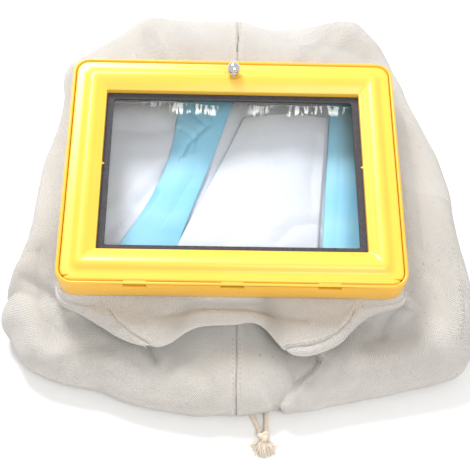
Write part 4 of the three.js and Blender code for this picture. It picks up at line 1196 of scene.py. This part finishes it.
def tray_rows():
    """The tray's profile: outer wall, round rim, inner wall, floor and the raised seat of the pane."""
    rows = []
    depth, wall, floor = TRAY["depth"], TRAY["wall"], -TRAY["depth"] + TRAY["floor"]

    def outer(inset, z):
        rows.append((HALF_X - inset, HALF_Y - inset, TRAY["corner"] - inset * 0.9, z))

    outer(0, -depth + 1.2)
    outer(0, -1.25)
    for k in range(1, 9):
        angle = math.pi * k / 9
        outer(wall / 2 - wall / 2 * math.cos(angle), -1.25 + 1.25 * math.sin(angle))
    outer(wall, -1.25)
    outer(wall, floor)
    rows.append((*SEAT_OUT, GLASS["corner"], floor))
    rows.append((*SEAT_OUT, GLASS["corner"], SEAT_TOP))
    rows.append((*SEAT_IN, 1.0, SEAT_TOP))
    rows.append((*SEAT_IN, 1.0, -depth))
    outer(1.2, -depth)
    outer(0.35, -depth + 0.35)
    return rows


tray = new_object("tray_shell", ring_mesh("tray_shell", tray_rows()), tray_yellow_with_shade)
floor_top = -TRAY["depth"] + TRAY["floor"]
boss_top = -BEZEL["edge"] - 2.3
combine(tray, [window_post("boss", KNOB["boss"], floor_top - 1, boss_top)], "UNION")
slot_half = HINGE["tongue"] / 2 + HINGE["slack"]
slots = [
    window_box("slot", (x - slot_half, -HALF_Y - 1, PIVOT_Z - HINGE["reach"] + 0.15),
               (x + slot_half, -HALF_Y + TRAY["wall"] + 1, PIVOT_Z + HINGE["thick"] / 2))
    for x in HINGE["places"]
]
combine(tray, [*slots, window_post("bore", KNOB["bore"], boss_top - 9, boss_top + 1)], "DIFFERENCE")
finish_plastic(tray, "hood", "back_frame", "yellow_plastic_tray", tray_yellow_with_shade, 0.25)

# %% [markdown]
# ## Ball knob
# The ball turns on a screw through the bezel. A lathe makes it: a profile is spun about the
# window's normal, with enough sides that its reflections stay round.


# %% Ball knob
def lathe(name, profile, x, y, sides=56):
    """A closed body spun from a profile of (radius, height)."""
    rings = []
    for r, z in profile:
        angle = np.linspace(0, 2 * np.pi, sides, endpoint=False)
        rings.append(np.stack([x + r * np.cos(angle), y + r * np.sin(angle), np.full(sides, z)], -1))
    points = np.concatenate(rings)
    faces = [tuple(range(sides - 1, -1, -1))]
    for i in range(len(profile) - 1):
        for j in range(sides):
            m = (j + 1) % sides
            faces.append((i * sides + j, i * sides + m, (i + 1) * sides + m, (i + 1) * sides + j))
    last = (len(profile) - 1) * sides
    faces.append(tuple(last + j for j in range(sides)))
    return window_mesh(name, points, faces)


ball_centre = 0.5 + CLEAR + 0.7 + KNOB["ball"]
collar = -BEZEL["edge"] - CLEAR
profile = [
    (0.6, -10), (2, -9), (2, collar - 1), (3.2, collar - 1), (3.2, collar), (2, collar), (2, 0.8), (3, 0.8),
]
for k in range(25):
    angle = -math.radians(68) + math.radians(157.5) * k / 24
    profile.append((max(KNOB["ball"] * math.cos(angle), 0.05), ball_centre + KNOB["ball"] * math.sin(angle)))
knob = new_object("chrome_ball", lathe("chrome_ball", profile, 0, KNOB_Y), chrome)
knob.data.set_sharp_from_angle(angle=math.radians(50))
dress(knob, "knob", "chrome_ball", "ball_knob")

# %% [markdown]
# ## Gasket, glass and film
# The foam strip and the pane have the right shape already, so they keep their solids and get a
# material. The film is cut by hand, so its far edge wanders and bulges, and glue has dried along it.

# %% Gasket, pane and film
for node, material in (("gasket", foam), ("window_glass", clear_pane)):
    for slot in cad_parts[node].material_slots:
        slot.material = material

FILM = {"side_gap": 2.5, "far_gap": 3.4, "thick": 0.4}


def film_surface():
    """The film's grid, with its hand-cut far edge. Its columns run from that edge to the near one."""
    rows, columns = 220, 70
    along, down = np.meshgrid(np.linspace(-1, 1, rows), np.linspace(0, 1, columns) ** 1.5, indexing="ij")
    x = along * (SEAT_IN[0] - FILM["side_gap"])
    bulge = 2.2 * np.exp(-(((x + 52) / 20) ** 2)) - 1.6 * np.exp(-(((x + 6) / 26) ** 2))
    far = OPEN_Y - FILM["far_gap"] - 1.2 + bulge + 0.35 * np.sin(x / 5.1) + 0.25 * np.sin(x / 2.3 + 1)
    y = lerp(far, -SEAT_IN[1] + FILM["side_gap"], down)
    top = GLASS_TOP - GLASS["thick"] - CLEAR - FILM["thick"] / 2
    sag = 0.25 * np.sin(np.pi * down) + 0.12 * np.sin(x / 14) * np.exp(-down * 8)
    return from_window(np.stack([x, y, top - sag], -1))


film_mesh = grid_mesh("film", film_surface())
film = new_object("cut_film", film_mesh, clear_film)
uv = np.zeros(len(film_mesh.loops) * 2, np.float32)
film_mesh.uv_layers[0].data.foreach_get("uv", uv)
uv = uv.reshape(-1, 2)
uv[:, 1] -= uv[:, 1].min()
film_mesh.uv_layers[0].data.foreach_set("uv", uv.reshape(-1))
thicken(film, FILM["thick"])
dress(film, "hood", "clear_film", "window_film")


# %% [markdown]
# ## Neck hem and drawcord
# The hem is a channel of canvas round the neck mouth, gathered on the cord inside it. Its gathers
# are small waves of its outline. The cord is three twisted strands, made as one tube whose section
# has three lobes that turn along it.


# %% Neck hem
def swept_loop(path, section_at, closed=True):
    """A section swept along a path in plan. section_at gives the (off, up) points at each step."""
    count = len(path)
    points = []
    for n, (x, y) in enumerate(path):
        before = path[(n - 1) % count] if closed else path[max(n - 1, 0)]
        after = path[(n + 1) % count] if closed else path[min(n + 1, count - 1)]
        direction = after - before
        out = np.array([direction[1], -direction[0]]) / np.linalg.norm(direction)
        points.append([(x + out[0] * off, y + out[1] * off, up) for off, up in section_at(n)])
    grid = np.array(points)
    return np.concatenate([grid, grid[:, :1]], 1)


HEM = {"low": WALL + CLEAR, "height": 6.4, "width": 6.4, "wall": 1.2}
HEM_STEPS = 420


def hem_section(n):
    """The hem's channel at a step of its path: round its outer face, then back along the inside."""
    pucker = 0.35 * math.sin(n * 0.62) + 0.25 * math.sin(n * 0.27 + 1)
    low, high, width = HEM["low"], HEM["low"] + HEM["height"], HEM["width"]
    return [(0.3, low), (width - 1.2, low), (width - 0.3, low + 0.9), (width, low + 3 + pucker * 0.5),
            (width - 0.4 - abs(pucker), high - 1.0), (width - 1.4, high), (0.3, high - 0.2 - abs(pucker)),
            (0.1, high - 1.2), (width - 2.0, high - 1.4), (width - 1.3, high - 2.2), (width - 1.3, low + 1.8),
            (width - 2.0, low + 1.2), (0.2, low + 1.2)]


def welded(name, grid, material, closed=False):
    """A swept grid as one closed body: a ring if closed, or else a tube with flat ends."""
    made = new_object(name, grid_mesh(name, grid, closed), material)
    edit = bmesh.new()
    edit.from_mesh(made.data)
    bmesh.ops.remove_doubles(edit, verts=edit.verts, dist=MERGE)
    if not closed:
        bmesh.ops.holes_fill(edit, edges=[e for e in edit.edges if e.is_boundary], sides=0)
    bmesh.ops.recalc_face_normals(edit, faces=edit.faces)
    edit.to_mesh(made.data)
    edit.free()
    return made


hem = welded("gathered_hem", swept_loop(mouth_loop(HEM_STEPS), hem_section), canvas, closed=True)
channel_top = HEM["low"] + HEM["height"] - HEM["wall"]
combine(hem, [exit_cutter(CORD["hem_gap"], HEM["low"] - 1, channel_top)], "DIFFERENCE")
hem.data.shade_smooth()
hem.data.set_sharp_from_angle(angle=math.radians(50))
dress(hem, "hood", "canvas", "neck_hem")


# %% Drawcord
RADIUS = CORD["diameter"] / 2
CORD_UP = HEM["low"] + HEM["height"] / 2
CORD_OFF = HEM["width"] - HEM["wall"] - CLEAR - RADIUS
LAY = 7.5


def strand_section(angle, turn):
    """Radius of a three-strand cord at an angle about it, turned by its lay."""
    lobes = np.abs(np.cos(1.5 * (angle - turn)))
    return RADIUS * (0.80 + 0.17 * lobes)


def loop_cord_grid():
    """The cord in the hem, open where its ends come out."""
    path = mouth_loop(700)
    step = np.linalg.norm(path[1] - path[0])
    beside_exit = np.abs(path[:, 0] - CORD["exit_x"]) < CORD["loop_gap"] / 2
    keep = ~(beside_exit & (path[:, 1] < -MOUTH["front"] + 5))
    first = int(np.argmax(keep & ~np.roll(keep, 1)))
    order = [(first + n) % len(path) for n in range(int(keep.sum()))]
    path = path[order]
    angle = np.linspace(0, 2 * np.pi, 18, endpoint=False)

    def section(n):
        radius = strand_section(angle, n * step / LAY * 2 * np.pi / 3)
        return [(CORD_OFF + r * math.cos(a), CORD_UP + r * math.sin(a)) for a, r in zip(angle, radius)]

    return swept_loop(path, section, closed=False)


drawcord = welded("drawcord_loop", loop_cord_grid(), cotton)
dress(drawcord, "hood", "cotton_cord", "drawcord")

# %% Free ends of the cord
END_ROUTES = {
    # share of half the exit's width, way out in front of the mouth, height
    "cord_end_left": [
        (-1.29, 3.2, 5.1), (-1.0, 4.6, 5.0), (-0.7, 8.5, 4.2), (-0.59, 14, 2.9), (-0.53, 21, 2.1),
        (-0.42, 29, 2.1), (-0.15, 36, 2.1), (0.12, 43.5, 2.6),
    ],
    "cord_end_right": [
        (1.29, 3.2, 5.1), (1.0, 4.6, 5.0), (0.72, 8.5, 4.2), (0.63, 14, 2.9), (0.59, 21, 2.1),
        (0.57, 29, 2.1), (0.53, 36, 2.1), (0.52, 43.4, 2.6),
    ],
}
KNOT = {"side": 0.34, "front": 47.5, "up": 4.4}
END_STEPS = 90


def cord_place(side, front, up):
    return (CORD["exit_x"] + side * CORD["exit_width"] / 2, -MOUTH["front"] - front, up)


def smooth_path(stops, count):
    """Evenly spaced points on a smooth curve through the stops."""
    p = [np.array([s], float) for s in stops]
    dense = smooth_section(p, np.linspace(0, len(stops) - 1, count * 6))[0]
    length = length_along(dense, 0)[-1]
    return at_lengths(dense, np.linspace(0, length, count)), length


def tube_grid(path, radius_at, sides=20):
    """Rings about a path in space, with a frame that doesn't twist by itself."""
    tangent = np.gradient(path, axis=0)
    tangent /= np.linalg.norm(tangent, axis=1, keepdims=True)
    up = np.array([0.0, 0.0, 1.0])
    angle = np.linspace(0, 2 * np.pi, sides, endpoint=False)
    rings = []
    for n, (p, t) in enumerate(zip(path, tangent)):
        side = np.cross(t, up)
        side /= np.linalg.norm(side)
        rise = np.cross(side, t)
        radius = radius_at(n, angle)
        ring = p + radius[:, None] * (np.cos(angle)[:, None] * side + np.sin(angle)[:, None] * rise)
        rings.append(np.concatenate([ring, ring[:1]]))
    return np.array(rings)


end_pieces = {}
for name, route in END_ROUTES.items():
    path, length = smooth_path([cord_place(*stop) for stop in route], END_STEPS)
    step = length / (END_STEPS - 1)

    def radius_at(n, angle, step=step):
        return strand_section(angle, n * step / LAY * 2 * np.pi / 3)

    made = welded(name + "_twist", tube_grid(path, radius_at), cotton)
    end_pieces[name] = (made, path, length)
    print(name, "length", round(length, 1))

# %% [markdown]
# ## The knot and its tuft
# The two ends are tied in one overhand knot, and beyond it the strands have come apart. The knot is
# a short trefoil of cord. The tuft is a spray of thin bent fibres: one fibre is drawn as a curve,
# and Geometry Nodes could scatter it, but each fibre bends its own way, so a loop makes them.


# %% Knot and tuft
def knot_grid():
    """A short cord along a trefoil, pressed a little flat."""
    t = np.linspace(0, 2 * np.pi, 200, endpoint=False)
    x = np.sin(t) + 2 * np.sin(2 * t)
    y = np.cos(t) - 2 * np.cos(2 * t)
    z = -np.sin(3 * t)
    centre = np.array(cord_place(KNOT["side"], KNOT["front"], KNOT["up"]))
    path = centre + np.stack([x * 1.05, y * 0.9, z * 1.6], -1)
    path = np.concatenate([path, path[:1]])
    return tube_grid(path, lambda n, a: strand_section(a, n * 0.3) * 0.9, 16)


def fibre(start, heading, length, lift, rng):
    """One thread of the tuft, which bends to one side and sinks to the table."""
    steps = 9
    t = np.linspace(0, 1, steps)
    bend = rng.uniform(-0.9, 0.9)
    angle = heading + bend * t**1.5
    step = length / (steps - 1)
    x = start[0] + np.cumsum(np.cos(angle)) * step
    y = start[1] + np.cumsum(np.sin(angle)) * step
    z = np.maximum(start[2] + lift * np.sin(np.pi * t * 0.9) - (start[2] - 0.6) * t, 0.5)
    return np.stack([x, y, z], -1)


def tuft_piece(fibres=150, sides=5):
    rng = np.random.default_rng(RNG_SEED + 40)
    centre = np.array(cord_place(KNOT["side"], KNOT["front"] + 2.5, 2.4))
    made = bmesh.new()
    for _ in range(fibres):
        heading = math.radians(rng.normal(-90, 34))
        start = centre + [rng.normal(0, 1.7), rng.normal(0, 0.6), rng.uniform(-0.8, 1.6)]
        path = fibre(start, heading, rng.uniform(5.5, 10.5), rng.uniform(0.2, 2.2), rng)
        thick = rng.uniform(0.22, 0.46)
        grid = tube_grid(path, lambda n, a: np.full(len(a), thick * (1 - 0.05 * n)), sides)
        rings = [[made.verts.new(p) for p in ring] for ring in to_part(grid[:, :-1])]
        for a, b in zip(rings[:-1], rings[1:]):
            for k in range(sides):
                m = (k + 1) % sides
                made.faces.new((a[k], a[m], b[m], b[k]))
        made.faces.new(reversed(rings[0]))
        made.faces.new(rings[-1])
    bmesh.ops.recalc_face_normals(made, faces=made.faces)
    mesh = bpy.data.meshes.new("tuft")
    made.to_mesh(mesh)
    made.free()
    return new_object("frayed_tuft", mesh, cotton)


knot = welded("tied_knot", knot_grid(), cotton)
tuft = tuft_piece()
for made in (knot, tuft):
    dress(made, "hood", "cotton_cord", "cord_knot")
for name, (made, path, length) in end_pieces.items():
    dress(made, "hood", "cotton_cord", name)
    length * MM

# %% [markdown]
# ## Stitches
# Seams are sewn, so each one shows a row of short stitches. A stitch is always the same small ball,
# stretched along a line at an even pitch, which is what Geometry Nodes are for: the tree takes a
# line of points with their surface normals, resamples it, and puts one stitch on each point.


# %% Stitch tree
STITCH = {"Pitch": 0.0036, "Stitch length": 0.0028, "Thread": 0.0008}


def stitch_tree(material):
    """Puts one stitch, a small stretched ball, on each point of a resampled line."""
    tree = bpy.data.node_groups.new("stitches", "GeometryNodeTree")
    tree.interface.new_socket("Geometry", in_out="INPUT", socket_type="NodeSocketGeometry")
    for label, value in STITCH.items():
        socket = tree.interface.new_socket(label, in_out="INPUT", socket_type="NodeSocketFloat")
        socket.default_value = value
    tree.interface.new_socket("Geometry", in_out="OUTPUT", socket_type="NodeSocketGeometry")
    nodes = tree.nodes
    given = nodes.new("NodeGroupInput")
    result = nodes.new("NodeGroupOutput")
    to_curve = nodes.new("GeometryNodeMeshToCurve")
    spaced = nodes.new("GeometryNodeResampleCurve")
    spaced.mode = "LENGTH"
    ball = nodes.new("GeometryNodeMeshUVSphere")
    ball.inputs["Segments"].default_value = 6
    ball.inputs["Rings"].default_value = 4
    ball.inputs["Radius"].default_value = 0.5
    tangent = nodes.new("GeometryNodeInputTangent")
    facing = nodes.new("GeometryNodeInputNamedAttribute")
    facing.data_type = "FLOAT_VECTOR"
    facing.inputs["Name"].default_value = "surface_normal"
    along = nodes.new("FunctionNodeAlignRotationToVector")
    along.axis = "X"
    upright = nodes.new("FunctionNodeAlignRotationToVector")
    upright.axis = "Z"
    upright.pivot_axis = "X"
    size = nodes.new("ShaderNodeCombineXYZ")
    copies = nodes.new("GeometryNodeInstanceOnPoints")
    real = nodes.new("GeometryNodeRealizeInstances")
    paint = nodes.new("GeometryNodeSetMaterial")
    paint.inputs["Material"].default_value = material
    joins = [
        (given, "Geometry", to_curve, "Mesh"),
        (to_curve, "Curve", spaced, "Curve"),
        (given, "Pitch", spaced, "Length"),
        (spaced, "Curve", copies, "Points"),
        (ball, "Mesh", copies, "Instance"),
        (tangent, "Tangent", along, "Vector"),
        (along, "Rotation", upright, "Rotation"),
        (facing, "Attribute", upright, "Vector"),
        (upright, "Rotation", copies, "Rotation"),
        (given, "Stitch length", size, "X"),
        (given, "Thread", size, "Y"),
        (given, "Thread", size, "Z"),
        (size, "Vector", copies, "Scale"),
        (copies, "Instances", real, "Geometry"),
        (real, "Geometry", paint, "Geometry"),
        (paint, "Geometry", result, "Geometry"),
    ]
    for source, output, target, entry in joins:
        tree.links.new(source.outputs[output], target.inputs[entry])
    return tree


def thread_material():
    m = Material("sewing thread", Roughness=0.8, Sheen_Weight=0.3)
    twist = m.noise(m.object_place(), 2200.0, 2.0)
    m.feed("Base Color", m.mix(twist.above(0.3, 0.4), srgb(196, 184, 166), srgb(226, 217, 203)))
    m.bump(twist, 0.0001)
    return m.material


thread = thread_material()
STITCHES = stitch_tree(thread)


# %% A row of stitches
def nearest_line(points, normals, route, lift):
    """Points of a grid nearest to a dense route in plan, above the cloth, with their normals."""
    flat = points[..., :2].reshape(-1, 2)
    high = points[..., 2].reshape(-1)
    all_normals = normals.reshape(-1, 3)
    route = np.array(route, float)
    line, facing = [], []
    for p in at_lengths(route, np.arange(0, length_along(route, 0)[-1], 1.2)):
        distance = np.hypot(*(flat - p).T)
        near = np.flatnonzero(distance < 1.6)
        if not len(near):
            continue
        best = near[np.argmax(high[near] - distance[near] * 0.5)]
        normal = all_normals[best]
        line.append(np.array([p[0], p[1], high[best]]) + normal * lift)
        facing.append(normal)
    return np.array(line), np.array(facing)


def sew(name, lines):
    """Rows of stitches along lines of (points, normals)."""
    vertices, edges, facing = [], [], []
    for points, normals in lines:
        start = len(vertices)
        vertices += to_part(points).tolist()
        facing += normals.tolist()
        edges += [(start + n, start + n + 1) for n in range(len(points) - 1)]
    mesh = bpy.data.meshes.new(name)
    mesh.from_pydata(vertices, edges, [])
    layer = mesh.attributes.new("surface_normal", "FLOAT_VECTOR", "POINT")
    layer.data.foreach_set("vector", np.array(facing, np.float32).reshape(-1))
    made = bpy.data.objects.new(name, mesh)
    bpy.context.scene.collection.objects.link(made)
    modifier = made.modifiers.new("stitches", "NODES")
    modifier.node_group = STITCHES
    for item in STITCHES.interface.items_tree:
        if item.in_out == "INPUT" and item.name in STITCH:
            modifier[item.identifier] = STITCH[item.name]
    apply_modifiers(made)
    made.data.shade_smooth()
    dress(made, "hood", "canvas")


# %% Rows of stitches
LIFT = WALL / 2 + 0.1
CHIN_ROW = 2.2
SEAM_ROW = 2.4
SIDE_ROW = [(161, -40), (162.5, -62), (162.5, -90), (158, -110)]


def beside(route, off):
    """A route moved sideways by off, in plan."""
    r = np.array(route, float)
    direction = np.gradient(r, axis=0)
    direction /= np.linalg.norm(direction, axis=1, keepdims=True)
    return r + np.stack([-direction[:, 1], direction[:, 0]], -1) * off


chin_lines = []
for route in CHIN_SEAMS.values():
    chin_lines.append(nearest_line(front_points, front_normals, beside(route, -CHIN_ROW), LIFT))
sew("chin_stitches", chin_lines)
seam_lines = []
for x in (SEAM_X - SEAM_ROW, SEAM_X + SEAM_ROW):
    for near, far in ((128, 172), (-108, -150)):
        seam_lines.append(nearest_line(hood_points, hood_normals, [(x, near), (x, far)], LIFT))
sew("centre_stitches", seam_lines)
sew("side_stitches", [nearest_line(hood_points, hood_normals, SIDE_ROW, LIFT)])

# %% [markdown]
# ## Table and light
# The photo is a product shot on white. A pale floor, an even sky and two broad soft lights give the
# same shadowless look, with enough direction that the roll of the bezel and the folds still read.

# %% Floor, light and colour
FLOOR_HALF = 6.0
floor_mesh = bpy.data.meshes.new("floor")
corners = [(x * FLOOR_HALF, y * FLOOR_HALF, 0) for x, y in ((-1, -1), (1, -1), (1, 1), (-1, 1))]
floor_mesh.from_pydata(corners, [], [(0, 1, 2, 3)])
floor_material = Material("floor", Roughness=0.9, Base_Color=(0.93, 0.93, 0.93, 1.0), Specular_IOR_Level=0.1)
floor = new_object("floor", floor_mesh, floor_material.material, smooth=False)

world = bpy.data.worlds.new("studio")
world.use_nodes = True
sky = world.node_tree.nodes["Background"]
sky.inputs["Color"].default_value = (1.0, 0.985, 0.965, 1.0)
sky.inputs["Strength"].default_value = 0.72
bpy.context.scene.world = world


def soft_light(name, place, target, size, power):
    """A round area light at a place that shines on a target."""
    data = bpy.data.lights.new(name, "AREA")
    data.shape = "DISK"
    data.size = size
    data.energy = power
    made = bpy.data.objects.new(name, data)
    bpy.context.scene.collection.objects.link(made)
    turn = (Vector(target) - Vector(place)).to_track_quat("-Z", "Y")
    made.matrix_world = Matrix.Translation(Vector(place)) @ turn.to_matrix().to_4x4()
    print("light", name, power, "W")


soft_light("key", (-0.45, 0.95, 1.35), (0, 0, 0.05), size=0.6, power=27.0)
soft_light("fill", (0.35, -0.9, 1.4), (0, -0.05, 0.03), size=0.7, power=9.0)
bpy.context.scene.view_settings.view_transform = "Standard"
